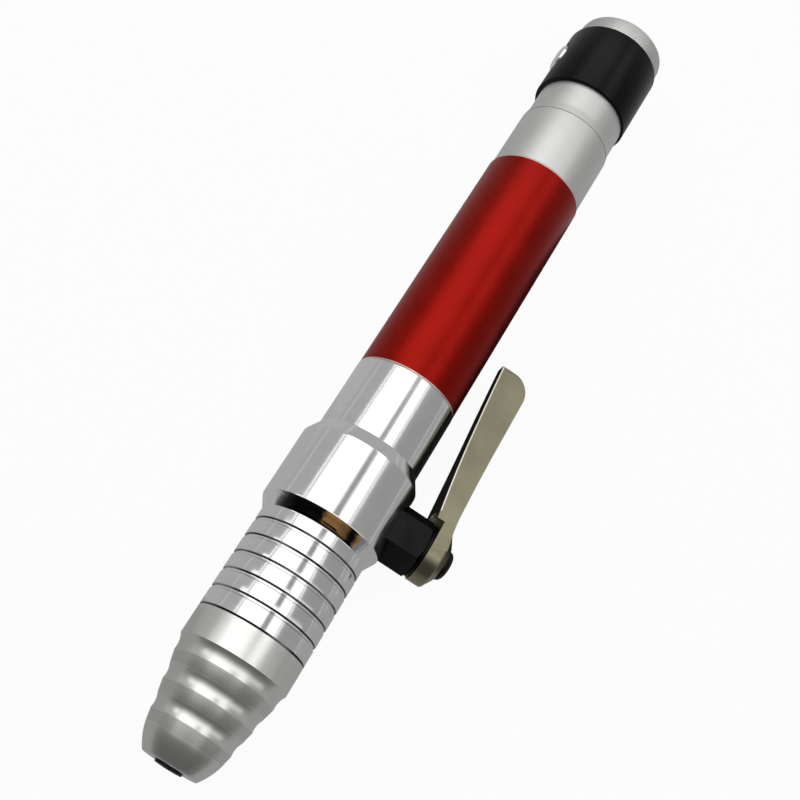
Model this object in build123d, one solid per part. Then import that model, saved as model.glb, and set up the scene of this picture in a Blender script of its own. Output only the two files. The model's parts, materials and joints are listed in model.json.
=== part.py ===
"""Die grinder handpiece: a flexible-shaft pencil grinder with a quick-change collet and a side lever.

Units are millimetres. X runs along the spindle from the nose face to the rear, the lever stands out
towards -Y, the latch button towards +Y, and +Z is up when the tool lies on its side.
"""

from build123d import *
import math
import os

# ---- Outside of the casing, along the axis ------------------------------------------------------
NOSE_LENGTH = 24.2
BARREL_LENGTH = 19.7
FRONT_CONE_LENGTH = 2.45
COLLAR_LENGTH = 13.5
REAR_CONE_LENGTH = 2.7
SLEEVE_LENGTH = 13.85
GRIP_LENGTH = 52.0
REAR_SLEEVE_LENGTH = 21.8
BAND_LENGTH = 15.7
END_CAP_LENGTH = 4.5

# ---- Outside radii ------------------------------------------------------------------------------
BARREL_RADIUS = 10.24
COLLAR_RADIUS = 11.63
SLEEVE_RADIUS = 10.05
GRIP_RADIUS = 10.0
REAR_SLEEVE_RADIUS = 9.72
TAIL_RADIUS = 9.32
BAND_RADIUS = 10.05
BAND_OFFSET = 0.2
EDGE_CHAMFER = 0.25
CUT_CLEAR = 1.0
SEAM_CHAMFER = 0.16
END_CAP_ROUND = 1.0

# ---- Turned outline of the nose: (x, radius) at the ends of each land ---------------------------
NOSE_FACE_RADIUS = 5.1
NOSE_BULGE = 0.22
LANDS = [((4.03, 7.17), (6.24, 7.66)), ((8.86, 8.08), (11.07, 8.6)), ((13.7, 9.0), (15.97, 9.6))]
NOSE_BAND_START = 18.7
NOSE_BAND_STEP = 0.06
SCALLOP_DEPTH = 0.2
NOSE_LIP = 0.8
NOSE_MOUTH_GAP = 0.4
NOSE_CHAMBER_RADIUS = 4.7

# ---- Grooves in the barrel ----------------------------------------------------------------------
BARREL_GROOVES = 5
GROOVE_PITCH = 3.4
FIRST_GROOVE = 3.5
GROOVE_WIDTH = 0.8
GROOVE_DEPTH = 0.35

# ---- Step at the tail of the rear sleeve --------------------------------------------------------
STEP_BEFORE_BAND = 8.0
STEP_LENGTH = 2.0

# ---- Screwed joints of the casing ---------------------------------------------------------------
THREAD_GAP = 0.02
NOSE_THREAD_RADIUS = 8.6
NOSE_THREAD_LENGTH = 5.7
CASING_THREAD_RADIUS = 8.83
FRONT_SPIGOT_LENGTH = 8.4
REAR_SPIGOT_LENGTH = 6.0
O_RING_WIRE = 0.45
O_RING_SET_BACK = 1.2

# ---- Ball bearings, 7 x 14 x 5 ------------------------------------------------------------------
BEARING_BORE_RADIUS = 3.5
BEARING_OUTER_RADIUS = 7.0
BEARING_WIDTH = 5.0
RACE_OPENING = 1.3
BALL_RADIUS = 1.19
BALL_COUNT = 7
BALL_GAP = 0.03
CAGE_GAP = 0.2
CAGE_WIDTH = 3.2
POCKET_GAP = 0.1
BEARING_SPACER = 2.0
RACE_SHOULDER = 1.4
GRIP_SHOULDER = 0.6
FRONT_BEARING_SET_BACK = 1.0

# ---- Spindle and drive shaft --------------------------------------------------------------------
SPINDLE_NOSE_RADIUS = 3.4
SPINDLE_RADIUS = 5.0
SPINDLE_SET_BACK = 0.3
SHOULDER_RADIUS = 4.5
SHOULDER_LENGTH = 3.5
SPRING_CHAMBER_SET_BACK = 0.8
SPRING_CHAMBER_RADIUS = 3.1
DRIVE_PLUG_LENGTH = 6.0
DRIVE_PLUG_ROOM = 3.0
DRIVE_FLANGE = 2.0
DRIVE_SHAFT_RADIUS = 4.2
NUT_RADIUS = 4.9
NUT_LENGTH = 3.0
NUT_FLATS = 8.8
REAR_BEARINGS_BEFORE_END = 16.4
JOURNAL_TAIL = 3.4
CIRCLIP_THICKNESS = 0.7
CIRCLIP_WALL = 0.9
CIRCLIP_SEAT = 0.35
CIRCLIP_MOUTH = 50.0
SHAFT_END_RADIUS = 3.0
SHAFT_END_LENGTH = 8.0
COUPLING_GAP = 0.3
COUPLING_RADIUS = 5.0
COUPLING_LENGTH = 19.0
COUPLING_SLOT = 3.0
COUPLING_SLOT_DEPTH = 6.0
COUPLING_BORE_RADIUS = 2.5
COUPLING_PIN_RADIUS = 0.75
COUPLING_PIN_PLACE = 3.6
PRELOAD_WASHER = 0.6
RETAINER_LENGTH = 3.0
RETAINER_BORE_RADIUS = 4.9
SPANNER_SLOT_WIDTH = 2.0
SPANNER_SLOT_LENGTH = 3.0
SEAL_BEFORE_NUT = 2.0
SEAL_LENGTH = 2.5

# ---- Collet and drawbar -------------------------------------------------------------------------
SHANK_RADIUS = 1.5
COLLET_FACE_RADIUS = 2.55
COLLET_STAND_OUT = 0.45
COLLET_CHAMFER = 0.12
COLLET_TAPER_START = 1.4
COLLET_TAPER_LENGTH = 5.6
COLLET_STEM_RADIUS = 2.1
COLLET_STEM_END = 16.0
COLLET_BORE_DEPTH = 15.0
COLLET_SLOTS = 3
COLLET_SLOT_WIDTH = 0.5
COLLET_SLOT_END = 12.0
COLLET_THREAD_RADIUS = 1.4
COLLET_THREAD_LENGTH = 4.5
SLIDE_GAP = 0.03
DRAWBAR_HEAD_RADIUS = 3.05
DRAWBAR_HEAD_LENGTH = 7.5
CROSS_PIN_RADIUS = 1.0
CROSS_PIN_SLOT_GAP = 0.2
CROSS_PIN_FROM_HEAD = 4.0
CROSS_PIN_FROM_COLLAR = 2.1
RELEASE_WALL = 1.4
RELEASE_LENGTH = 4.6
RELEASE_SET_BACK = 0.8
SPRING_WIRE_RADIUS = 0.35
SPRING_MEAN_RADIUS = 2.55
SPRING_TURNS = 6
SPRING_SEAT_GAP = 0.05

# ---- Lever, cam and shift ring ------------------------------------------------------------------
PIVOT_FROM_COLLAR = 6.5
CAM_THROW = 1.1
CAM_PIN_RADIUS = 1.25
CAM_PIN_GAP = 0.06
CAM_PIN_END_GAP = 0.2
CAM_START_ANGLE = 45.0
CAM_SHAFT_RADIUS = 2.5
CAM_FLANGE_RADIUS = 3.3
CAM_FLANGE = 0.7
RUNNING_GAP = 0.03
FACE_GAP = 0.05
RING_CAVITY_BEFORE_WINDOW = 1.2
RING_GAP = 0.05
RING_SET_BACK = 0.7
RING_LENGTH = 12.4
RING_INNER_RADIUS = 6.75
RING_GROOVE_DEPTH = 1.4
RING_FLANGE_RADIUS = 5.4
RING_FLANGE_GAP = 0.3
RING_FLANGE = 2.0
BARREL_BORE_RADIUS = 7.4
WINDOW_TOWARDS_LEVER = 34.0
WINDOW_TOWARDS_BUTTON = 59.0
HEX_FLATS = 10.0
HEX_SEAT = 10.5
HEX_END = 17.2
HEX_CHAMFER = 0.5
HEX_CHAMFER_RADIUS = 4.85
BUSH_THREAD_RADIUS = 4.0
BUSH_SET_BACK = 0.1
WASHER = 0.5
WASHER_RADIUS = 5.2
EYE_RADIUS = 5.5
EYE_WALL = 3.0
EYE_CROWN = 1.0
EYE_TOP_RADIUS = 3.4
EYE_EDGE_ROUND = 0.45
SPOT_FACE_RADIUS = 7.0
ARM_REACH = 38.95
ARM_EYE_HALF_WIDTH = 5.35
ARM_NECK_HALF_WIDTH = 3.95
ARM_TIP_HALF_WIDTH = 1.6
ARM_WAIST_HALF_WIDTH = 2.1
ARM_WAIST_REACH = 21.0
ARM_INNER_NECK = 16.1
ARM_INNER_MIDDLE = 14.4
ARM_INNER_TIP = 13.0
ARM_OUTER_NECK = 19.85
ARM_OUTER_TIP = 19.65
ARM_RAMP_END = 6.2
ARM_TIP_ROUND = 4.4
DRIVE_FLATS = 3.8
SCREW_RADIUS = 1.5
SCREW_DEPTH = 5.0
SCREW_HEAD_RADIUS = 2.85
SCREW_HEAD = 1.4
SCREW_DOME = 0.9
SCREW_SOCKET = 2.0
SCREW_SOCKET_DEPTH = 0.8

# ---- Flexible-shaft socket and its latch --------------------------------------------------------
SOCKET_RADIUS = 7.15
SOCKET_DEPTH = 21.4
SOCKET_CHAMFER = 0.6
SOCKET_BOTTOM_RADIUS = 6.6
LATCH_BEFORE_REAR = 11.0
LATCH_THICKNESS = 2.4
LATCH_TRAVEL = 0.75
LATCH_OPENING_GAP = 0.15
LATCH_WALL = 1.25
LATCH_GAP = 0.1
BUTTON_RADIUS = 3.0
BUTTON_GAP = 0.12
BUTTON_STAND_OUT = 0.6
BUTTON_DOME = 0.5
LEAF_THICKNESS = 0.3
LEAF_HALF_SPAN = 4.6

# ---- Places worked out from the sizes above -----------------------------------------------------
barrel_end = NOSE_LENGTH + BARREL_LENGTH
collar_start = barrel_end + FRONT_CONE_LENGTH
collar_end = collar_start + COLLAR_LENGTH
sleeve_start = collar_end + REAR_CONE_LENGTH
grip_start = sleeve_start + SLEEVE_LENGTH
grip_end = grip_start + GRIP_LENGTH
band_start = grip_end + REAR_SLEEVE_LENGTH
band_end = band_start + BAND_LENGTH
rear_face = band_end + END_CAP_LENGTH
pivot_x = collar_start + PIVOT_FROM_COLLAR
shift_travel = 2 * CAM_THROW * math.cos(math.radians(CAM_START_ANGLE))
spigot_front = NOSE_LENGTH - NOSE_THREAD_LENGTH
front_bearings = spigot_front + FRONT_BEARING_SET_BACK
bearing_pair = 2 * BEARING_WIDTH + BEARING_SPACER
front_bearings_end = front_bearings + bearing_pair
seal_start = front_bearings - NUT_LENGTH - SEAL_BEFORE_NUT - SEAL_LENGTH
rear_bearings = grip_end - REAR_BEARINGS_BEFORE_END
rear_bearings_end = rear_bearings + bearing_pair
pitch_radius = (BEARING_BORE_RADIUS + BEARING_OUTER_RADIUS) / 2
inner_race_radius = pitch_radius - RACE_OPENING / 2
outer_race_bore = pitch_radius + RACE_OPENING / 2
casing_bore_radius = CASING_THREAD_RADIUS + THREAD_GAP
grip_front = grip_start - FRONT_SPIGOT_LENGTH
grip_rear = grip_end + REAR_SPIGOT_LENGTH
grip_bore_radius = BEARING_OUTER_RADIUS - GRIP_SHOULDER
spindle_front = NOSE_LIP + SPINDLE_SET_BACK
drawbar_bore_radius = COLLET_STEM_RADIUS + SLIDE_GAP
ring_cavity_start = barrel_end - RING_CAVITY_BEFORE_WINDOW
ring_start = barrel_end + RING_SET_BACK
ring_end = ring_start + RING_LENGTH
release_start = ring_start + RELEASE_SET_BACK
release_end = release_start + RELEASE_LENGTH
release_radius = SPINDLE_RADIUS + SLIDE_GAP + RELEASE_WALL
cross_pin_x = release_start + CROSS_PIN_FROM_COLLAR
drawbar_head_start = cross_pin_x - CROSS_PIN_FROM_HEAD
drawbar_head_end = drawbar_head_start + DRAWBAR_HEAD_LENGTH
spring_chamber_start = front_bearings_end + SPRING_CHAMBER_SET_BACK
spindle_end = drawbar_head_end + DRIVE_PLUG_ROOM + DRIVE_PLUG_LENGTH
ring_radius = casing_bore_radius - RING_GAP
bush_start = casing_bore_radius + BUSH_SET_BACK
hex_corner = HEX_FLATS / math.sqrt(3)
cam_pin_x = pivot_x + CAM_THROW * math.cos(math.radians(CAM_START_ANGLE))
cam_pin_z = CAM_THROW * math.sin(math.radians(CAM_START_ANGLE))
lever_seat = HEX_END + WASHER + FACE_GAP
eye_wall_end = lever_seat + EYE_WALL
eye_top = eye_wall_end + EYE_CROWN
journal_end = rear_bearings_end + JOURNAL_TAIL
retainer_start = rear_bearings_end + PRELOAD_WASHER
coupling_start = retainer_start + RETAINER_LENGTH + COUPLING_GAP
socket_bottom = rear_face - SOCKET_DEPTH
latch_x = rear_face - LATCH_BEFORE_REAR
latch_opening_radius = SOCKET_RADIUS + LATCH_OPENING_GAP
latch_radius = latch_opening_radius + LATCH_WALL
band_bore_radius = TAIL_RADIUS + THREAD_GAP
button_seat = latch_radius + LATCH_TRAVEL


def at(x, y=0.0, z=0.0):
    """A place in the tool's frame."""
    return Location((x, y, z))


def turned(corners):
    """A solid turned about the spindle axis from its (x, radius) corners."""
    return revolve(make_face(Polyline(*corners, close=True)), Axis.X)


def tube(start, end, inner, outer):
    """A plain ring or tube about the spindle axis."""
    return turned([(start, inner), (end, inner), (end, outer), (start, outer)])


def rod(start, end, radius):
    """A round bar along the spindle axis."""
    return at((start + end) / 2) * Rot(0, 90, 0) * Cylinder(radius, end - start)


def side_rod(x, near, far, radius, z=0.0):
    """A round bar along -Y, between two distances from the spindle axis."""
    return at(x, -(near + far) / 2, z) * Rot(90, 0, 0) * Cylinder(radius, far - near)


def side_turned(x, corners):
    """A solid turned about the -Y axis at x, from (radius, distance from the spindle) corners."""
    outline = Polyline(*[(radius, -height) for radius, height in corners], close=True)
    return at(x) * revolve(make_face(outline), Axis.Y)


def about_axis(shape, count):
    """Copies of a shape, evenly spaced about the spindle axis."""
    return [Rot(index * 360 / count, 0, 0) * shape for index in range(count)]


# ---- Casing -------------------------------------------------------------------------------------

def nose_cap():
    """Turned nose: face, bulged front cone, lands with scallops between, and a plain band."""
    band_foot = (NOSE_BAND_START, BARREL_RADIUS - NOSE_BAND_STEP)
    edges = [SagittaArc((0, NOSE_FACE_RADIUS), LANDS[0][0], NOSE_BULGE)]
    for index, (front, back) in enumerate(LANDS):
        following = LANDS[index + 1][0] if index + 1 < len(LANDS) else band_foot
        edges.append(Line(front, back))
        edges.append(SagittaArc(back, following, -SCALLOP_DEPTH))
    thread = NOSE_THREAD_RADIUS + THREAD_GAP
    boss = BEARING_OUTER_RADIUS - THREAD_GAP
    boss_bore = BEARING_OUTER_RADIUS - RACE_SHOULDER
    edges.append(
        Polyline(
            band_foot,
            (NOSE_BAND_START, BARREL_RADIUS),
            (NOSE_LENGTH - SEAM_CHAMFER, BARREL_RADIUS),
            (NOSE_LENGTH, BARREL_RADIUS - SEAM_CHAMFER),
            (NOSE_LENGTH, thread),
            (spigot_front, thread),
            (spigot_front, boss),
            (front_bearings, boss),
            (front_bearings, boss_bore),
            (seal_start, boss_bore),
            (seal_start, NOSE_CHAMBER_RADIUS),
            (NOSE_LIP, NOSE_CHAMBER_RADIUS),
            (NOSE_LIP, COLLET_FACE_RADIUS + NOSE_MOUTH_GAP),
            (0, COLLET_FACE_RADIUS + NOSE_MOUTH_GAP),
            (0, NOSE_FACE_RADIUS),
        )
    )
    return revolve(make_face(edges), Axis.X)


def shaft_seal():
    """Lip seal pressed into the nose in front of the bearings."""
    outer = BEARING_OUTER_RADIUS - RACE_SHOULDER
    return tube(seal_start, seal_start + SEAL_LENGTH, SPINDLE_NOSE_RADIUS + SLIDE_GAP, outer)


def window():
    """The gap cut through the front cone of the collar, over the shift ring."""
    outline = Polyline(
        (barrel_end, ring_radius),
        (collar_start, ring_radius),
        (collar_start, COLLAR_RADIUS + CUT_CLEAR),
        (barrel_end, COLLAR_RADIUS + CUT_CLEAR),
        close=True,
    )
    span = WINDOW_TOWARDS_LEVER + WINDOW_TOWARDS_BUTTON
    return Rot(90 - WINDOW_TOWARDS_BUTTON, 0, 0) * revolve(make_face(outline), Axis.X, span)


def front_housing():
    """Barrel, collar and sleeve in one turned piece, with the seats for the bearings, ring and lever."""
    body = turned(
        [
            (spigot_front, BEARING_OUTER_RADIUS),
            (spigot_front, NOSE_THREAD_RADIUS),
            (NOSE_LENGTH, NOSE_THREAD_RADIUS),
            (NOSE_LENGTH, BARREL_RADIUS - SEAM_CHAMFER),
            (NOSE_LENGTH + SEAM_CHAMFER, BARREL_RADIUS),
            (barrel_end, BARREL_RADIUS),
            (collar_start, COLLAR_RADIUS),
            (collar_end, COLLAR_RADIUS),
            (sleeve_start, SLEEVE_RADIUS),
            (grip_start, SLEEVE_RADIUS),
            (grip_start, casing_bore_radius),
            (ring_cavity_start, casing_bore_radius),
            (ring_cavity_start, BARREL_BORE_RADIUS),
            (front_bearings_end + RACE_SHOULDER, BARREL_BORE_RADIUS),
            (front_bearings_end + RACE_SHOULDER, BEARING_OUTER_RADIUS - RACE_SHOULDER),
            (front_bearings_end, BEARING_OUTER_RADIUS - RACE_SHOULDER),
            (front_bearings_end, BEARING_OUTER_RADIUS),
        ]
    )
    for index in range(BARREL_GROOVES):
        middle = NOSE_LENGTH + FIRST_GROOVE + index * GROOVE_PITCH
        body -= turned(
            [
                (middle - GROOVE_WIDTH / 2, BARREL_RADIUS + CUT_CLEAR),
                (middle - GROOVE_WIDTH / 2, BARREL_RADIUS),
                (middle - GROOVE_WIDTH / 4, BARREL_RADIUS - GROOVE_DEPTH),
                (middle + GROOVE_WIDTH / 4, BARREL_RADIUS - GROOVE_DEPTH),
                (middle + GROOVE_WIDTH / 2, BARREL_RADIUS),
                (middle + GROOVE_WIDTH / 2, BARREL_RADIUS + CUT_CLEAR),
            ]
        )
    body -= window()
    body -= side_rod(pivot_x, HEX_SEAT, COLLAR_RADIUS + CUT_CLEAR, hex_corner + RING_GAP)
    body -= side_rod(pivot_x, RING_INNER_RADIUS, COLLAR_RADIUS, BUSH_THREAD_RADIUS + THREAD_GAP)
    return body


def pivot_bush():
    """Hexagonal bush screwed into the collar, which carries the lever's cam shaft."""
    prism = at(pivot_x, -HEX_SEAT) * Rot(90, 0, 0)
    prism *= extrude(RegularPolygon(hex_corner, 6), HEX_END - HEX_SEAT)
    chamfer_start = HEX_END - HEX_CHAMFER
    blank = side_turned(
        pivot_x,
        [
            (0, HEX_SEAT),
            (hex_corner, HEX_SEAT),
            (hex_corner, chamfer_start),
            (HEX_CHAMFER_RADIUS, HEX_END),
            (0, HEX_END),
        ],
    )
    bush = prism & blank
    bush += side_rod(pivot_x, bush_start, HEX_SEAT, BUSH_THREAD_RADIUS)
    bush -= side_rod(pivot_x, bush_start, HEX_END, CAM_SHAFT_RADIUS + RUNNING_GAP)
    counterbore = bush_start + CAM_FLANGE + 2 * FACE_GAP
    bush -= side_rod(pivot_x, bush_start, counterbore, CAM_FLANGE_RADIUS + RUNNING_GAP)
    return bush


def o_ring_groove(middle):
    """The groove that holds one O-ring on a spigot of the grip tube."""
    bottom = CASING_THREAD_RADIUS - 2 * O_RING_WIRE - THREAD_GAP
    half = O_RING_WIRE + FACE_GAP
    return tube(middle - half, middle + half, bottom, CASING_THREAD_RADIUS + CUT_CLEAR)


def o_ring_places():
    """Middles of the two O-rings, one inside each end joint of the grip tube."""
    return [grip_start - O_RING_SET_BACK, grip_end + O_RING_SET_BACK]


def grip_tube():
    """Anodised grip with a threaded spigot at each end and the seat of the rear bearings."""
    body = turned(
        [
            (grip_front, grip_bore_radius),
            (grip_front, CASING_THREAD_RADIUS),
            (grip_start, CASING_THREAD_RADIUS),
            (grip_start, GRIP_RADIUS - EDGE_CHAMFER),
            (grip_start + EDGE_CHAMFER, GRIP_RADIUS),
            (grip_end - EDGE_CHAMFER, GRIP_RADIUS),
            (grip_end, GRIP_RADIUS - EDGE_CHAMFER),
            (grip_end, CASING_THREAD_RADIUS),
            (grip_rear, CASING_THREAD_RADIUS),
            (grip_rear, BEARING_OUTER_RADIUS),
            (rear_bearings, BEARING_OUTER_RADIUS),
            (rear_bearings, grip_bore_radius),
        ]
    )
    for middle in o_ring_places():
        body -= o_ring_groove(middle)
    return body


def grip_o_rings():
    """Two rubber rings that keep the grip's screwed joints tight."""
    centre = CASING_THREAD_RADIUS - O_RING_WIRE
    rings = [at(middle) * Rot(0, 90, 0) * Torus(centre, O_RING_WIRE) for middle in o_ring_places()]
    return Compound(children=rings)


def rear_sleeve():
    """Rear casing with the socket for the flexible shaft and the slot of the latch plate."""
    step = band_start - STEP_BEFORE_BAND
    socket_start = grip_rear + FACE_GAP
    body = turned(
        [
            (grip_end, casing_bore_radius),
            (grip_end, REAR_SLEEVE_RADIUS - SEAM_CHAMFER),
            (grip_end + SEAM_CHAMFER, REAR_SLEEVE_RADIUS),
            (step, REAR_SLEEVE_RADIUS),
            (step + STEP_LENGTH, TAIL_RADIUS),
            (band_end, TAIL_RADIUS),
            (band_end, SOCKET_RADIUS),
            (socket_bottom, SOCKET_RADIUS),
            (socket_bottom, SOCKET_BOTTOM_RADIUS),
            (socket_start, SOCKET_BOTTOM_RADIUS),
            (socket_start, casing_bore_radius),
        ]
    )
    slot_half = latch_radius + FACE_GAP
    body -= at(latch_x) * Box(LATCH_THICKNESS + 2 * LATCH_GAP, 2 * COLLAR_RADIUS, 2 * slot_half)
    seat = latch_radius - FACE_GAP * 2
    body -= side_rod(latch_x, -COLLAR_RADIUS, -seat, BUTTON_RADIUS + BUTTON_GAP)
    return body


def rear_end_cap():
    """Turned ring that closes the rear of the sleeve round the socket."""
    body = turned(
        [
            (band_end, SOCKET_RADIUS),
            (band_end, TAIL_RADIUS),
            (rear_face, TAIL_RADIUS),
            (rear_face, SOCKET_RADIUS + SOCKET_CHAMFER),
            (rear_face - SOCKET_CHAMFER, SOCKET_RADIUS),
        ]
    )
    rear_edges = body.edges().filter_by(GeomType.CIRCLE).group_by(Axis.X)[-1]
    return fillet(rear_edges.sort_by(SortBy.RADIUS)[-1], END_CAP_ROUND)


def lock_band():
    """Black band over the latch slot, thicker on the button's side."""
    length = band_end - band_start
    middle = (band_start + band_end) / 2
    blank = at(middle, BAND_OFFSET) * Rot(0, 90, 0) * Cylinder(BAND_RADIUS, length)
    outer = chamfer(blank.edges(), SEAM_CHAMFER)
    body = outer - rod(band_start, band_end, band_bore_radius)
    return body - side_rod(latch_x, -COLLAR_RADIUS, 0, BUTTON_RADIUS + BUTTON_GAP)


# ---- Bearings -----------------------------------------------------------------------------------

def bearing_starts(first):
    """Front faces of a pair of bearings with a spacer between them."""
    return [first, first + BEARING_WIDTH + BEARING_SPACER]


def ball_track(first):
    """The ring-shaped groove that the balls of one bearing run in."""
    return at(first + BEARING_WIDTH / 2) * Rot(0, 90, 0) * Torus(pitch_radius, BALL_RADIUS + BALL_GAP)


def inner_races(first):
    """Inner races of a bearing pair."""
    races = []
    for start in bearing_starts(first):
        race = tube(start, start + BEARING_WIDTH, BEARING_BORE_RADIUS, inner_race_radius)
        races.append(race - ball_track(start))
    return Compound(children=races)


def outer_races(first):
    """Outer races of a bearing pair."""
    races = []
    for start in bearing_starts(first):
        race = tube(start, start + BEARING_WIDTH, outer_race_bore, BEARING_OUTER_RADIUS)
        races.append(race - ball_track(start))
    return Compound(children=races)


def balls(first):
    """Balls of a bearing pair."""
    found = []
    for start in bearing_starts(first):
        found += about_axis(at(start + BEARING_WIDTH / 2, 0, pitch_radius) * Sphere(BALL_RADIUS), BALL_COUNT)
    return Compound(children=found)


def cages(first):
    """Cages of a bearing pair, with a pocket for each ball."""
    found = []
    for start in bearing_starts(first):
        middle = start + BEARING_WIDTH / 2
        inner = inner_race_radius + CAGE_GAP
        cage = tube(middle - CAGE_WIDTH / 2, middle + CAGE_WIDTH / 2, inner, outer_race_bore - CAGE_GAP)
        for pocket in about_axis(at(middle, 0, pitch_radius) * Sphere(BALL_RADIUS + POCKET_GAP), BALL_COUNT):
            cage -= pocket
        found.append(cage)
    return Compound(children=found)


def inner_spacer(first):
    """Ring between the inner races of a pair."""
    start = first + BEARING_WIDTH
    return tube(start, start + BEARING_SPACER, BEARING_BORE_RADIUS, inner_race_radius)


def outer_spacer(first):
    """Ring between the outer races of a pair."""
    start = first + BEARING_WIDTH
    return tube(start, start + BEARING_SPACER, outer_race_bore, BEARING_OUTER_RADIUS)


def preload_washer():
    """Spring washer that loads the rear bearings."""
    return tube(rear_bearings_end, retainer_start, outer_race_bore, BEARING_OUTER_RADIUS)


def bearing_retainer():
    """Threaded ring behind the rear bearings, with two slots for a pin spanner."""
    end = retainer_start + RETAINER_LENGTH
    body = tube(retainer_start, end, RETAINER_BORE_RADIUS, BEARING_OUTER_RADIUS)
    middle = (RETAINER_BORE_RADIUS + BEARING_OUTER_RADIUS) / 2
    slot = at(end, 0, middle) * Box(RETAINER_LENGTH / 2, SPANNER_SLOT_WIDTH, SPANNER_SLOT_LENGTH)
    for cut in about_axis(slot, 2):
        body -= cut
    return body


# ---- Spindle ------------------------------------------------------------------------------------

def spindle():
    """Hollow front spindle: collet taper, bearing journal, spring chamber and slots of the cross pin."""
    taper_start = COLLET_TAPER_START + THREAD_GAP
    taper_end = COLLET_TAPER_START + COLLET_TAPER_LENGTH
    shoulder_end = front_bearings_end + SHOULDER_LENGTH
    body = turned(
        [
            (spindle_front, COLLET_FACE_RADIUS + SLIDE_GAP),
            (spindle_front, SPINDLE_NOSE_RADIUS),
            (front_bearings - NUT_LENGTH, SPINDLE_NOSE_RADIUS),
            (front_bearings - NUT_LENGTH, BEARING_BORE_RADIUS),
            (front_bearings_end, BEARING_BORE_RADIUS),
            (front_bearings_end, SHOULDER_RADIUS),
            (shoulder_end, SHOULDER_RADIUS),
            (shoulder_end, SPINDLE_RADIUS),
            (spindle_end, SPINDLE_RADIUS),
            (spindle_end, SPRING_CHAMBER_RADIUS),
            (spring_chamber_start, SPRING_CHAMBER_RADIUS),
            (spring_chamber_start, drawbar_bore_radius),
            (taper_end, drawbar_bore_radius),
            (taper_start, COLLET_FACE_RADIUS + SLIDE_GAP),
        ]
    )
    slot_front = cross_pin_x - shift_travel
    half_width = CROSS_PIN_RADIUS + FACE_GAP
    slot_length = shift_travel + 2 * (CROSS_PIN_RADIUS + CROSS_PIN_SLOT_GAP)
    middle = (slot_front + cross_pin_x) / 2
    body -= at(middle) * Box(slot_length, 3 * SPINDLE_RADIUS, 2 * half_width)
    return body


def spindle_nut():
    """Nut that clamps the front inner races, with two spanner flats."""
    start = front_bearings - NUT_LENGTH
    body = tube(start, front_bearings, BEARING_BORE_RADIUS, NUT_RADIUS)
    flats = at(start + NUT_LENGTH / 2) * Box(NUT_LENGTH, 3 * NUT_RADIUS, NUT_FLATS)
    return body & flats


def drive_shaft():
    """Rear shaft, screwed into the spindle and carried by the rear bearings."""
    plug_start = spindle_end - DRIVE_PLUG_LENGTH
    flange_end = spindle_end + DRIVE_FLANGE
    groove = rear_bearings_end
    return turned(
        [
            (plug_start, 0),
            (plug_start, SPRING_CHAMBER_RADIUS - THREAD_GAP),
            (spindle_end, SPRING_CHAMBER_RADIUS - THREAD_GAP),
            (spindle_end, SPINDLE_RADIUS),
            (flange_end, SPINDLE_RADIUS),
            (flange_end, DRIVE_SHAFT_RADIUS),
            (rear_bearings, DRIVE_SHAFT_RADIUS),
            (rear_bearings, BEARING_BORE_RADIUS),
            (groove, BEARING_BORE_RADIUS),
            (groove, BEARING_BORE_RADIUS - CIRCLIP_SEAT),
            (groove + CIRCLIP_THICKNESS, BEARING_BORE_RADIUS - CIRCLIP_SEAT),
            (groove + CIRCLIP_THICKNESS, BEARING_BORE_RADIUS),
            (journal_end, BEARING_BORE_RADIUS),
            (journal_end, SHAFT_END_RADIUS),
            (coupling_start + SHAFT_END_LENGTH, SHAFT_END_RADIUS),
            (coupling_start + SHAFT_END_LENGTH, 0),
        ]
    ) - side_rod(coupling_start + COUPLING_PIN_PLACE, -COUPLING_RADIUS, COUPLING_RADIUS, COUPLING_PIN_RADIUS)


def shaft_circlip():
    """Retaining ring behind the rear inner races."""
    start = rear_bearings_end
    inner = BEARING_BORE_RADIUS - CIRCLIP_SEAT
    profile = Polyline(
        (start, inner),
        (start + CIRCLIP_THICKNESS, inner),
        (start + CIRCLIP_THICKNESS, inner + CIRCLIP_WALL),
        (start, inner + CIRCLIP_WALL),
        close=True,
    )
    return revolve(make_face(profile), Axis.X, 360 - CIRCLIP_MOUTH)


def drive_coupling():
    """Dog on the shaft's tail, with the slot that takes the flexible shaft's key."""
    end = coupling_start + COUPLING_LENGTH
    shaft_end = coupling_start + SHAFT_END_LENGTH
    body = turned(
        [
            (coupling_start, SHAFT_END_RADIUS + THREAD_GAP),
            (coupling_start, COUPLING_RADIUS),
            (end, COUPLING_RADIUS),
            (end, COUPLING_BORE_RADIUS),
            (shaft_end + FACE_GAP, COUPLING_BORE_RADIUS),
            (shaft_end + FACE_GAP, SHAFT_END_RADIUS + THREAD_GAP),
        ]
    )
    body -= at(end) * Box(2 * COUPLING_SLOT_DEPTH, 3 * COUPLING_RADIUS, COUPLING_SLOT)
    return body - side_rod(
        coupling_start + COUPLING_PIN_PLACE, -2 * COUPLING_RADIUS, 2 * COUPLING_RADIUS, COUPLING_PIN_RADIUS
    )


def coupling_pin():
    """Pin that keys the coupling to the drive shaft."""
    reach = COUPLING_RADIUS - EDGE_CHAMFER
    return side_rod(coupling_start + COUPLING_PIN_PLACE, -reach, reach, COUPLING_PIN_RADIUS - THREAD_GAP)


# ---- Collet and drawbar -------------------------------------------------------------------------

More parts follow.
